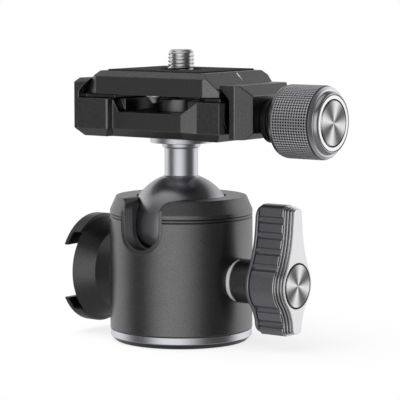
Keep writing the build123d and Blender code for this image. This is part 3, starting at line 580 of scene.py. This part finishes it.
# Lever face: a pale satin plate let into the ridges, with a thin black ring and a spun metal disc on the
# lever's axis. The disc is faced on a lathe with fine rings, and four bright fans are painted on it as
# highlights, with painted shade near black in the groove round it.
def pierced(outline, hole, columns):
    """A flat piece with a round hole. Each outline point is joined to the hole along its own ray, and a
    column is a share of that ray, a step in millimetres beyond it, and a height."""
    reach = np.linalg.norm(outline, axis=1)[:, None]
    share, step, height = np.asarray(columns, float).T
    radius = reach + (hole - reach) * share + step
    flat = outline[:, None] / reach[:, None] * radius[:, :, None]
    return flat, np.broadcast_to(height, radius.shape)


def edge_columns(bottom, top, roll):
    """Columns of a plate with a rolled upper edge outside and round its hole: the outer edge's come first,
    then the inner edge's. Each edge is a quarter circle with a guard point that keeps the top flat."""
    guard = 1.3 * roll
    bend = np.linspace(0, pi / 2, 5)
    outer = [(0, -roll * (1 - cos(t)), top - roll * (1 - sin(t))) for t in bend]
    inner = [(1, roll * (1 - sin(t)), top - roll * (1 - cos(t))) for t in bend]
    return [(0, 0, bottom), *outer, (0, -guard, top)], [(1, guard, top), *inner, (1, 0, bottom)]


def pale_satin(start):
    """Pale anodised metal with the faintest grain."""
    tint = (0.995, 0.995, 1.01)
    return grained(start, grey(0.86, tint), grey(0.94, tint), 0.26, 0.08, metallic=0.9, grain=0.1)


def black_metal(start):
    """Black anodise with a faint grain."""
    tint = (0.97, 0.97, 1.03)
    return blasted(start, grey(0.05, tint), 0.36, 0.9, depth=0.12)


def spun_metal_with_painted_fans(centre, face):
    """Metal faced on a lathe about X: four bright fans painted about its centre as highlights, and fine
    uneven rings. Beyond the face's radius it is painted near black as shade in the groove."""
    fan_count, fan_turn, fan_power = 4, radians(14), 1.4
    ring_rate, sway_rate, sway = 40, 17, 2
    dark_edge_width = 0.03

    def build(start):
        across = start.along("Y") - centre[0]
        upward = start.along("Z") - centre[1]
        clock = start.math("ARCTAN2", across, upward)
        radius = start.math("SQRT", across * across + upward * upward)
        # Painted highlight: four bright fans in the colour, standing in for light caught by the rings.
        painted_highlight_fans = start.math("COSINE", (clock - fan_turn) * fan_count) * 0.5 + 0.5
        painted_highlight_fans = start.math("POWER", painted_highlight_fans, fan_power)
        rings = start.math("SINE", radius * ring_rate + start.math("SINE", radius * sway_rate) * sway)
        rings = rings * 0.5 + 0.5
        metal = (painted_highlight_fans * 0.92 + rings * 0.08).mix(grey(0.1), grey(0.95))
        # Painted shade: near black beyond the face, in the groove.
        tone_and_painted_light = radius.above(face + dark_edge_width, dark_edge_width).mix(metal, grey(0.01))
        return start.surface(tone_and_painted_light, 0.3 + rings * 0.06, 1.0)
    return build


def spun_disc(name, node, body, centre, groove):
    """A disc about X whose face has fine concentric waves, with a groove of that width round it that its
    material paints near black as shade, and a turned bevel inside the groove."""
    low, high = span(node)
    radius = high[1] - seat_gap
    bevel = 0.1
    groove_depth = 0.3
    wave, ring = 0.006, 0.22
    face_points = 150
    face_radius = radius - groove
    place = np.linspace(face_radius - bevel, 0, face_points)
    face = high[0] - wave * (1 - np.cos(2 * pi * place / ring)) / 2
    rim = [(0, low[0]), (radius, low[0]), (radius, high[0] - groove_depth),
           (face_radius, high[0] - groove_depth), (face_radius, high[0] - bevel)]
    profile = np.vstack([rim, np.stack([place, face], axis=1)])
    look = material(f"{name} metal", spun_metal_with_painted_fans(centre, face_radius))
    skin(name, [(lathe(profile, "X", centre), False)], look, body, [node])


face_low, face_high = span("lever_face")
ring_low, ring_high = span("lever_ring")
ring_outer = ring_high[1]
ring_inner = span("lever_disc")[1][1] + seat_gap
face_outline = lever_outline(hub_radius - face_high[1])[:, :2]
outer_edge, inner_edge = edge_columns(face_low[0], face_high[0], 0.12)
flat, height = pierced(face_outline, ring_outer + seat_gap, outer_edge + inner_edge)
face_grid = np.stack([height, flat[..., 0], flat[..., 1] + lever_height], axis=-1)
pale_look = material("pale satin face", pale_satin)
skin("pale_face_plate", [(face_grid, True)], pale_look, "lever", ["lever_face"])
ring_profile = rounded([
    (ring_inner, ring_low[0]), (ring_outer, ring_low[0]),
    (ring_outer, ring_high[0]), (ring_inner, ring_high[0]),
], 0.05)
ring_grid = lathe(ring_profile, "X", lever_axis)
black_look = material("black anodise", black_metal)
skin("lever_black_ring", [(ring_grid, True)], black_look, "lever", ["lever_ring"])
spun_disc("lever_spun_disc", "lever_disc", "lever", lever_axis, groove=0.04)


# Accessory shoe: a flared disc with two hooked rails, turned and milled from aluminium, anodised black and
# held to the housing by two screws in the slot's floor.
def shoe_black(start):
    """Black anodise, a little paler and coarser than the rings'."""
    return blasted(start, grey(0.13), 0.34, 1.0, depth=0.2)


shoe_look = material("shoe black anodise", shoe_black)
softened("cold_shoe", "accessory_shoe", shoe_look, "base", 0.22)


# Ball: steel, ground and plated dark. A flat on its top carries the neck, whose shank is pressed into the
# bore below the flat.
def ball_metal(start):
    """Dark mirror plating with faint grinding marks."""
    tint = (0.98, 0.98, 1.03)
    marks = start.noise(1.2, detail=4.0, stretch=(1.0, 1.0, 5.0))
    return start.surface(marks.mix(grey(0.46, tint), grey(0.54, tint)), 0.26 + marks * 0.06, 1.0)


ball_low, ball_high = span("ball")
ball_radius = ball_high[1]
ball_height = ball_low[2] + ball_radius
flat_angle = np.arcsin((ball_high[2] - ball_height) / ball_radius)
stem_low, stem_high = span("stem")
shank_radius = 3.0
shank_bore = shank_radius + 0.05
bore_floor = stem_low[2] - 0.3
sphere = np.linspace(-pi / 2, flat_angle, 90)
ball_profile = np.vstack([
    np.stack([ball_radius * np.cos(sphere), ball_height + ball_radius * np.sin(sphere)], axis=1),
    [(shank_bore, ball_high[2]), (shank_bore, bore_floor), (0, bore_floor)],
])
ball_look = material("dark polished plating", ball_metal)
skin("polished_ball", [(lathe(ball_profile, count=200), False)], ball_look, "ball", ["ball"])

# Stem: a turned and polished aluminium neck pressed into the ball, with a small step and a flange that
# carries the clamp, and a spigot that centres it.
neck_radius = 4.0
foot_radius = neck_radius + 0.5
foot_height = 0.45
step_radius = neck_radius + 0.55
step_height = 1.0
step_bevel = 0.25
flange_radius = stem_high[1]
flange_height = 1.5
spigot_radius = 3.6
clamp_bottom = span("clamp_body")[0][2]
flange_bottom = clamp_bottom - flange_height
step_bottom = flange_bottom - step_height
stem_profile = rounded([
    (0, stem_low[2]), (shank_radius, stem_low[2]), (shank_radius, ball_high[2]),
    (foot_radius, ball_high[2]), (neck_radius, ball_high[2] + foot_height),
    (neck_radius, step_bottom - step_bevel), (step_radius, step_bottom), (step_radius, flange_bottom),
    (flange_radius, flange_bottom), (flange_radius, clamp_bottom), (spigot_radius, clamp_bottom),
    (spigot_radius, stem_high[2]), (0, stem_high[2]),
], 0.16, closed=False)


def neck_metal(start):
    """Polished aluminium with the lines of the lathe about Z."""
    tint = (0.98, 0.99, 1.03)
    return turned(start, grey(0.72, tint), 0.32, "Z", 0.06)


neck_look = material("polished neck", neck_metal)
skin("polished_stem", [(lathe(stem_profile), False)], neck_look, "head", ["stem"])


# Clamp: milled from an aluminium block, bead-blasted and anodised charcoal. A screw sunk in its boss holds
# it on the neck; the movable jaw slides on two pins.
def charcoal(start):
    """Charcoal anodise with a coarse blasted grain."""
    return blasted(start, grey(0.22), 0.33, 1.0, grain=0.3, depth=0.3)


clamp_look = material("charcoal anodise", charcoal)
softened("clamp_body", "clamp_frame", clamp_look, "head", 0.2)
softened("movable_jaw", "clamp_jaw", clamp_look, "jaw", 0.2)

# Jaw springs: two coils of round wire on the guide pins, which push the jaw open.
spring_low, spring_high = span("jaw_springs")
knob_low, knob_high = span("knob_grip")
knob_height = (knob_low[2] + knob_high[2]) / 2
pin_radius = 1.2
pin_across = span("guide_pins")[1][1] - pin_radius
wire = 0.3
coil_radius = 2.1
coil_turns = 4


def coil(across):
    """A helix of round wire about X: a circle carried along the helix, square to it, closed at its ends."""
    steps_per_turn, wire_points = 40, 12
    margin = wire + seat_gap
    share = np.linspace(0, 1, coil_turns * steps_per_turn + 1)
    turn = 2 * pi * coil_turns * share
    begin = spring_low[0] + margin
    length = spring_high[0] - spring_low[0] - 2 * margin
    place = np.stack([begin + length * share, across + coil_radius * np.cos(turn),
                      knob_height + coil_radius * np.sin(turn)], axis=1)
    outward = np.stack([np.zeros_like(turn), np.cos(turn), np.sin(turn)], axis=1)
    run = np.gradient(place, axis=0)
    run /= np.linalg.norm(run, axis=1)[:, None]
    aside = np.cross(run, outward)
    around = np.linspace(0, 2 * pi, wire_points, endpoint=False)[:, None, None]
    tube = place + wire * (np.cos(around) * outward + np.sin(around) * aside)
    ends = np.broadcast_to(place, tube.shape)
    return np.concatenate([ends[:, :1], tube, ends[:, -1:]], axis=1)


coils = [(coil(side * pin_across), False) for side in (-1, 1)]
springs = skin("coil_springs", coils, dark_steel_look, None, ["jaw_springs"])
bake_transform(springs)

# Clamp knob: a black collar, a knurled aluminium grip with a bevelled nose, a bright ring let into the nose
# and a spun disc inside it. The grip turns the screw that draws the jaw in.
knob_axis = (0.0, knob_height)
sleeve_low, sleeve_high = span("knob_sleeve")
sleeve_radius = sleeve_high[1]
waist_radius = sleeve_radius - 0.45
waist_start = sleeve_low[0] + 1.3
waist_side = 0.2
waist_end = waist_start + 0.7
screw_bore = span("clamp_screw")[1][1] + seat_gap
sleeve_profile = rounded([
    (screw_bore, sleeve_low[0]), (sleeve_radius, sleeve_low[0]), (sleeve_radius, waist_start),
    (waist_radius, waist_start + waist_side), (waist_radius, waist_end - waist_side),
    (sleeve_radius, waist_end), (sleeve_radius, sleeve_high[0]), (screw_bore, sleeve_high[0]),
], 0.12)
sleeve_grid = lathe(sleeve_profile, "X", knob_axis)
skin("knob_collar", [(sleeve_grid, True)], black_look, "knob", ["knob_sleeve"])

knob_radius = knob_high[1]
knurl_count = 78
knurl_pitch = 0.685
knurl_depth = 0.4
knurl_link = 0.2
knurl_samples = 8
knurl_start = knob_low[0] + 1.0
knurl_end = knob_low[0] + 10.2
plain_share = 0.6


def knurled(profile):
    """A turned surface about X with a square knurl. V grooves along the axis, a triangle wave round it,
    lower the radius wherever the profile's mask is 1, and a second triangle wave along the axis lets the
    links between two ridges stand up in them. Each point's share of the full tooth, squared, comes back
    with it; plain metal has a fixed share."""
    rows = knurl_count * knurl_samples
    angle = np.linspace(0, 2 * pi, rows, endpoint=False)[:, None]
    radius, place, mask = profile.T
    around = angle * knurl_count / (2 * pi)
    along = (place - knurl_start) / knurl_pitch
    grooves = 1 - np.abs(2 * np.mod(around, 1) - 1)
    pits = 1 - np.abs(2 * np.mod(along, 1) - 1)
    cut = knurl_depth * grooves * (knurl_link + (1 - knurl_link) * pits)
    tooth = (plain_share + mask * (1 - plain_share - cut / knurl_depth)) ** 2
    radius = radius - mask * cut
    place = np.broadcast_to(place, radius.shape)
    return np.stack([place, radius * np.cos(angle), knob_height + radius * np.sin(angle)], axis=-1), tooth


screw_room = span("clamp_screw")[1][0] + 0.3
back_radius = knob_radius - 0.3
band_radius = knob_radius - 0.05
band_end = knurl_start - 0.2
back_groove = (knob_radius - 0.2, knurl_start - 0.05)
back_part = rounded([
    (0, screw_room), (screw_bore, screw_room), (screw_bore, knob_low[0]), (back_radius, knob_low[0]),
    (band_radius, band_end), back_groove,
], 0.1, closed=False)
shoulder = knob_radius - 0.22
shoulder_start = knurl_end + 0.45
bright_radius = knob_radius - 0.88
nose_start = knurl_end + 0.9
nose_radius = bright_radius - 0.38
recess = span("knob_ring")[1][1] + seat_gap
recess_bevel = 0.06
lip = recess + 0.08
bulge = np.linspace(0, pi / 2, 12)
front_edge = (knob_radius - 0.28, knurl_end + 0.02)
front_groove = (knob_radius - 0.5, knurl_end + 0.1)
shoulder_back = knurl_end + 0.2
bright_start = nose_start - 0.04
shoulder_part = rounded([
    front_edge, front_groove, (shoulder, shoulder_back), (shoulder, shoulder_start),
    (bright_radius, bright_start), (nose_radius, nose_start),
], 0.05, closed=False)
nose_arc = np.stack([lip + (nose_radius - lip) * np.cos(bulge),
                     nose_start + (knob_high[0] - nose_start) * np.sin(bulge)], axis=1)
recess_part = rounded([
    (recess + recess_bevel, knob_high[0]), (recess, knob_high[0] - recess_bevel), (recess, nose_start),
    (0, nose_start),
], 0.04, closed=False)
front_part = np.vstack([shoulder_part, nose_arc, recess_part])
knurl_steps = int((knurl_end - knurl_start) / knurl_pitch * knurl_samples)
knurl_place = knurl_start + np.arange(knurl_steps + 1) * knurl_pitch / knurl_samples
knurl_part = np.stack([np.full(knurl_steps + 1, knob_radius), knurl_place], axis=1)
knob_profile = np.vstack([back_part, knurl_part, front_part])
mask = np.concatenate([np.zeros(len(back_part)), np.ones(knurl_steps + 1), np.zeros(len(front_part))])


def knob_grey(start):
    """Grey anodise. The knurl's tips are painted pale as highlights and its grooves near black as shade,
    and the shoulder's step and the band before the nose carry a painted highlight.
    """
    tint = (0.98, 0.98, 1.03)
    place = start.along("X")
    tooth = start.node("ShaderNodeAttribute", {}, output="Fac", attribute_name="painted_light").above(0.45, 0.5)
    # Painted highlight on the shoulder's step and the narrow band before the nose.
    shoulder_painted_highlight = place.above(shoulder_start, 0.04)
    bright = place.above(nose_start - 0.045, 0.01)
    nose = place.above(nose_start + 0.03, 0.04)
    pits = start.noise(0.1, detail=3.0)
    # Painted light: the knurl's tips pale as highlights, its grooves near black as shade.
    teeth_painted_light = tooth.mix(grey(0.008, tint), grey(0.74, tint))
    tone_and_painted_light = shoulder_painted_highlight.mix(teeth_painted_light, grey(0.85, tint))
    colour = nose.mix(bright.mix(tone_and_painted_light, grey(0.9)), grey(0.5, tint))
    return start.surface(colour, 0.24 + pits * 0.08 - bright * 0.1, 1.0, pits.bump(0.05, 0.03))


knob_look = material("knob grey anodise", knob_grey)
# The tooth share goes to the material, which paints the knurl's light and shade from it.
knob_grid, tooth = knurled(np.column_stack([knob_profile, mask]))
skin("knurled_knob", [(knob_grid, False)], knob_look, "knob", ["knob_grip"], tooth)


def polished(start):
    """Bright aluminium with faint turning lines about X."""
    return turned(start, grey(0.93, (1.0, 1.0, 1.01)), 0.16, "X", 0.06)


silver_look = material("polished aluminium", polished)
bright_low, bright_high = span("knob_ring")
bright_outer = bright_high[1] - 0.16
bright_inner = span("knob_disc")[1][1] + seat_gap
bright_profile = rounded([
    (bright_inner, bright_low[0]), (bright_outer, bright_low[0]),
    (bright_outer, bright_high[0]), (bright_inner, bright_high[0]),
], 0.06)
bright_grid = lathe(bright_profile, "X", knob_axis)
skin("knob_bright_ring", [(bright_grid, True)], silver_look, "knob", ["knob_ring"])
spun_disc("knob_spun_disc", "knob_disc", "knob", knob_axis, groove=0.3)

# Camera plate: a milled dovetail plate in the clamp's charcoal finish. A white line on its right slope
# marks the middle, and two bright conical screws below it keep it from sliding out.
softened("qr_plate", "camera_plate", clamp_look, "plate", 0.2)
plate_low, plate_high = span("qr_plate")
plate_edge = plate_low[2] + 1.4
slope_height = plate_high[2] - plate_edge
slope_top = plate_high[0] - slope_height


def white_paint(start):
    """Slightly worn white filling."""
    wear = start.noise(0.15)
    return start.surface(wear.mix(grey(0.75), grey(0.9)), 0.45 + wear * 0.1)


def index_line(across, upper, lower, width, lift):
    """A thin flat bar on the plate's right slope between two shares of it: a low rectangle carried down."""
    share = np.array([upper, upper, lower, lower])
    spread = np.array([0, 1, 1, 0])[None, :]
    sides = np.array([(-1, 0), (1, 0), (1, 1), (-1, 1)])[:, None]
    out = lift * sides[..., 1] * spread + lift * 0.5 * (1 - spread)
    x = slope_top + slope_height * share + out
    y = across + width / 2 * sides[..., 0] * spread
    z = plate_high[2] - slope_height * share + out
    return np.stack(np.broadcast_arrays(x, y, z), axis=-1)


line_grid = index_line(across=0.8, upper=0.08, lower=0.52, width=0.3, lift=0.03)
skin("index_line", [(line_grid, False)], material("white filling", white_paint), "plate", [])

stop_low, stop_high = span("stop_screws")
stop_radius = stop_high[0]
stop_across = stop_high[1] - stop_radius
stop_shank = 1.4
stop_rim = plate_low[2] - 0.25
stop_tip = stop_low[2]
tip_hollow = 0.35
tip_edge = 0.6
tip_radius = 0.9
cone_radius = 1.6
cone_height = 0.95
stop_profile = rounded([
    (0, stop_tip + tip_hollow), (tip_edge - 0.15, stop_tip + tip_hollow - 0.05), (tip_edge, stop_tip),
    (tip_radius, stop_tip), (cone_radius, stop_tip + cone_height),
    (stop_radius, stop_rim), (stop_radius, plate_low[2]),
    (stop_shank, plate_low[2]), (stop_shank, stop_high[2]), (0, stop_high[2]),
], 0.3, closed=False)
stop_grids = [(lathe(stop_profile, "Z", (0, side * stop_across), 64), False) for side in (-1, 1)]
skin("stop_pins", stop_grids, neck_look, "plate", ["stop_screws"])


# Rubber pad: a black moulded sheet in the plate's recess, with fine ribs from side to side and a hole round
# the camera screw. It stands a little proud of the metal.
def black_rubber(start):
    """Matt black rubber with a fine moulded grain and paler dust in it."""
    return grained(start, grey(0.008), grey(0.02), 0.6, 0.15, depth=0.3, relief=0.03)


pad_low, pad_high = span("rubber_pad")
pad_hole = 5.175
pad_roll = 0.12
rib_pitch = 0.9
rib_depth = 0.1
side_points, ray_points = 90, 150
across, along = pad_high[:2]
pad_corners = np.array([(across, along), (-across, along), (-across, -along), (across, -along)])
share = np.linspace(0, 1, side_points, endpoint=False)[:, None]
corner_pairs = zip(pad_corners, np.roll(pad_corners, -1, axis=0))
pad_outline = np.concatenate([begin + (end - begin) * share for begin, end in corner_pairs])
rays = [(part, 0, pad_high[2]) for part in np.linspace(0.02, 0.98, ray_points)]
outer_edge, inner_edge = edge_columns(pad_low[2], pad_high[2], pad_roll)
flat, height = pierced(pad_outline, pad_hole, outer_edge + rays + inner_edge[1:])
ribs = rib_depth * (0.5 - 0.5 * np.cos(2 * pi * flat[..., 1] / rib_pitch)) ** 2
on_top = height > pad_high[2] - pad_roll - 0.01
pad_grid = np.concatenate([flat, (height - ribs * on_top)[..., None]], axis=-1)
rubber_look = material("black rubber", black_rubber)
skin("ribbed_pad", [(pad_grid, True)], rubber_look, "plate", ["rubber_pad"])


# Camera screw: a bright steel screw with a broad head under the plate, a reduced shank held by a clip, and
# a rolled thread that stands above the pad.
def screw_steel(start):
    """Bright plated steel."""
    return turned(start, grey(0.85), 0.16, "Z", 0.05)


screw_low, screw_high = span("camera_screw")
head_radius = screw_high[0]
head_top = screw_low[2] + 2.4
clipped_radius = 2.62
thread_radius = 3.175
thread_depth = 0.42
thread_pitch = 0.85
thread_start = span("screw_clip")[1][2] + 0.05
thread_bevel = 0.75
thread_columns = 80
flank_rate = 1.25
crest_flat = 0.12
lead_rate = 1.5
lead_step = 0.2


def threaded(count=120):
    """A screw about Z: a flat head, a shank, and a thread whose radius falls from crest to root as a
    triangle wave of the height less the turn, with both of its ends cut to a cone."""
    angle = np.linspace(0, 2 * pi, count, endpoint=False)[:, None]
    below = rounded([
        (0, screw_low[2]), (head_radius, screw_low[2]), (head_radius, head_top), (clipped_radius, head_top),
        (clipped_radius, thread_start), (clipped_radius + 0.08, thread_start),
    ], 0.15, closed=False)
    height = np.linspace(thread_start, screw_high[2], thread_columns)
    wave = np.abs(2 * np.mod(height / thread_pitch - angle / (2 * pi), 1) - 1)
    crest = thread_radius - thread_depth * np.clip(wave * flank_rate - crest_flat, 0, 1)
    from_start = (height - thread_start) * lead_rate + lead_step
    cone = thread_radius - thread_bevel + np.minimum(screw_high[2] - height, from_start)
    lower = np.broadcast_to(below[:, 0], (count, len(below)))
    radius = np.hstack([lower, np.minimum(crest, cone), np.zeros((count, 1))])
    height = np.concatenate([below[:, 1], height, screw_high[2:]])
    height = np.broadcast_to(height, radius.shape)
    return np.stack([radius * np.cos(angle), radius * np.sin(angle), height], axis=-1)


screw_look = material("bright screw steel", screw_steel)
skin("threaded_camera_screw", [(threaded(), False)], screw_look, "camera_screw", ["camera_screw"])


# Studio: a pale floor that fades into a white backdrop, and a soft surround of pale and dark panels that
# shows in the metal, with one soft box overhead.
def floor_white(start):
    """White to the eye, with the shadow kept near the object and fading out further off. Metal looks
    through it to the surround, whose lowest part is a dim grey."""
    fade_middle, fade_width = 45, 50
    camera = start.node("ShaderNodeLightPath", {}, output="Is Camera Ray")
    glossy = start.node("ShaderNodeLightPath", {}, output="Is Glossy Ray")
    across = start.along("X")
    along = start.along("Y")
    reach = start.math("SQRT", across * across + along * along)
    whiteness = camera * (0.8 + reach.above(fade_middle, fade_width) * 0.2)
    lit = start.node("ShaderNodeBsdfDiffuse", {"Color": grey(0.9)})
    plain = start.node("ShaderNodeEmission", {"Color": grey(1.0)})
    seen = start.node("ShaderNodeMixShader", {0: whiteness, 1: lit, 2: plain})
    clear = start.node("ShaderNodeBsdfTransparent", {})
    return start.node("ShaderNodeMixShader", {0: glossy, 1: seen, 2: clear})


floor_mesh = bpy.data.meshes.new("floor")
half = 0.25
drop = -0.02 * mm
floor_corners = [(-half, -half, drop), (half, -half, drop), (half, half, drop), (-half, half, drop)]
floor_mesh.from_pydata(floor_corners, [], [(0, 1, 2, 3)])
floor_mesh.materials.append(material("floor white", floor_white))
floor = bpy.data.objects.new("floor", floor_mesh)
bpy.context.scene.collection.objects.link(floor)

world = bpy.data.worlds.new("studio")
bpy.context.scene.world = world
world.use_nodes = True
world.node_tree.nodes.clear()
sky = Signal(world.node_tree)
ray = sky.node("ShaderNodeTexCoord", {}, output="Generated")
ray_x, ray_y, ray_z = [sky.node("ShaderNodeSeparateXYZ", {0: ray}, output=axis) for axis in "XYZ"]
compass = sky.math("ARCTAN2", ray_x, ray_y * -1) * (0.5 / pi) + 0.5
panels = [
    (-180, 0.85), (-155, 0.6), (-128, 0.75), (-100, 0.9), (-83, 0.95), (-68, 0.75),
    (-58, 0.35), (-47, 0.12), (-26, 0.12), (-14, 0.5), (-2, 0.88), (10, 1.0),
    (32, 1.0), (46, 0.75), (58, 0.45), (72, 0.12), (86, 0.07), (116, 0.07),
    (128, 0.4), (140, 0.95), (150, 1.0), (165, 1.0), (180, 0.85),
]
panel_stops = [((bearing + 180) / 360, level) for bearing, level in panels]
walls = sky.node("ShaderNodeValToRGB", {0: compass}, stops=panel_stops)
box_facing = ray_x * -0.29 + ray_y * -0.106 + ray_z * 0.951
ceiling = box_facing.above(0.87, 0.26).mix(grey(0.12), grey(0.62))
upper = ray_z.above(0.55, 0.3).mix(walls, ceiling)
around = ray_z.above(-0.45, 0.3).mix(grey(0.3), upper)
surround = sky.node("ShaderNodeBackground", {"Color": around})
white = sky.node("ShaderNodeBackground", {"Color": grey(1.0)})
camera_ray = sky.node("ShaderNodeLightPath", {}, output="Is Camera Ray")
seen = sky.node("ShaderNodeMixShader", {0: camera_ray, 1: surround, 2: white})
sky.node("ShaderNodeOutputWorld", {"Surface": seen})

box_place = Vector((-0.1, -0.15, 0.6))
box_aim = Vector((0, 0, 0.04))
light = bpy.data.lights.new("top box", "AREA")
light.size = 0.5
light.energy = 4.0
soft_box = bpy.data.objects.new("top box", light)
soft_box.location = box_place
soft_box.rotation_euler = (box_aim - box_place).to_track_quat("-Z", "Y").to_euler()
soft_box.visible_glossy = False
bpy.context.scene.collection.objects.link(soft_box)

# Camera: the photograph's viewpoint, a long lens from the front right and a little above. The aim is set
# off from the head's middle, because the photograph isn't centred on it.
azimuth = radians(35.34)
elevation = radians(6.15)
distance = 500.0
back = Vector((sin(azimuth) * cos(elevation), -cos(azimuth) * cos(elevation), sin(elevation)))
right = Vector((cos(azimuth), sin(azimuth), 0))
up = back.cross(right)
aim = Vector((0, 0, 35.0)) + right * 4.45 - up * 1.72
lens = bpy.data.cameras.new("camera")
lens.sensor_width = 36.0
lens.lens = 188.88
view = bpy.data.objects.new("camera", lens)
turn = Matrix((right, up, back)).transposed().to_4x4()
view.matrix_world = Matrix.Translation((aim + back * distance) * mm) @ turn
bpy.context.scene.collection.objects.link(view)
bpy.context.scene.camera = view
bpy.context.scene.view_settings.view_transform = "Standard"
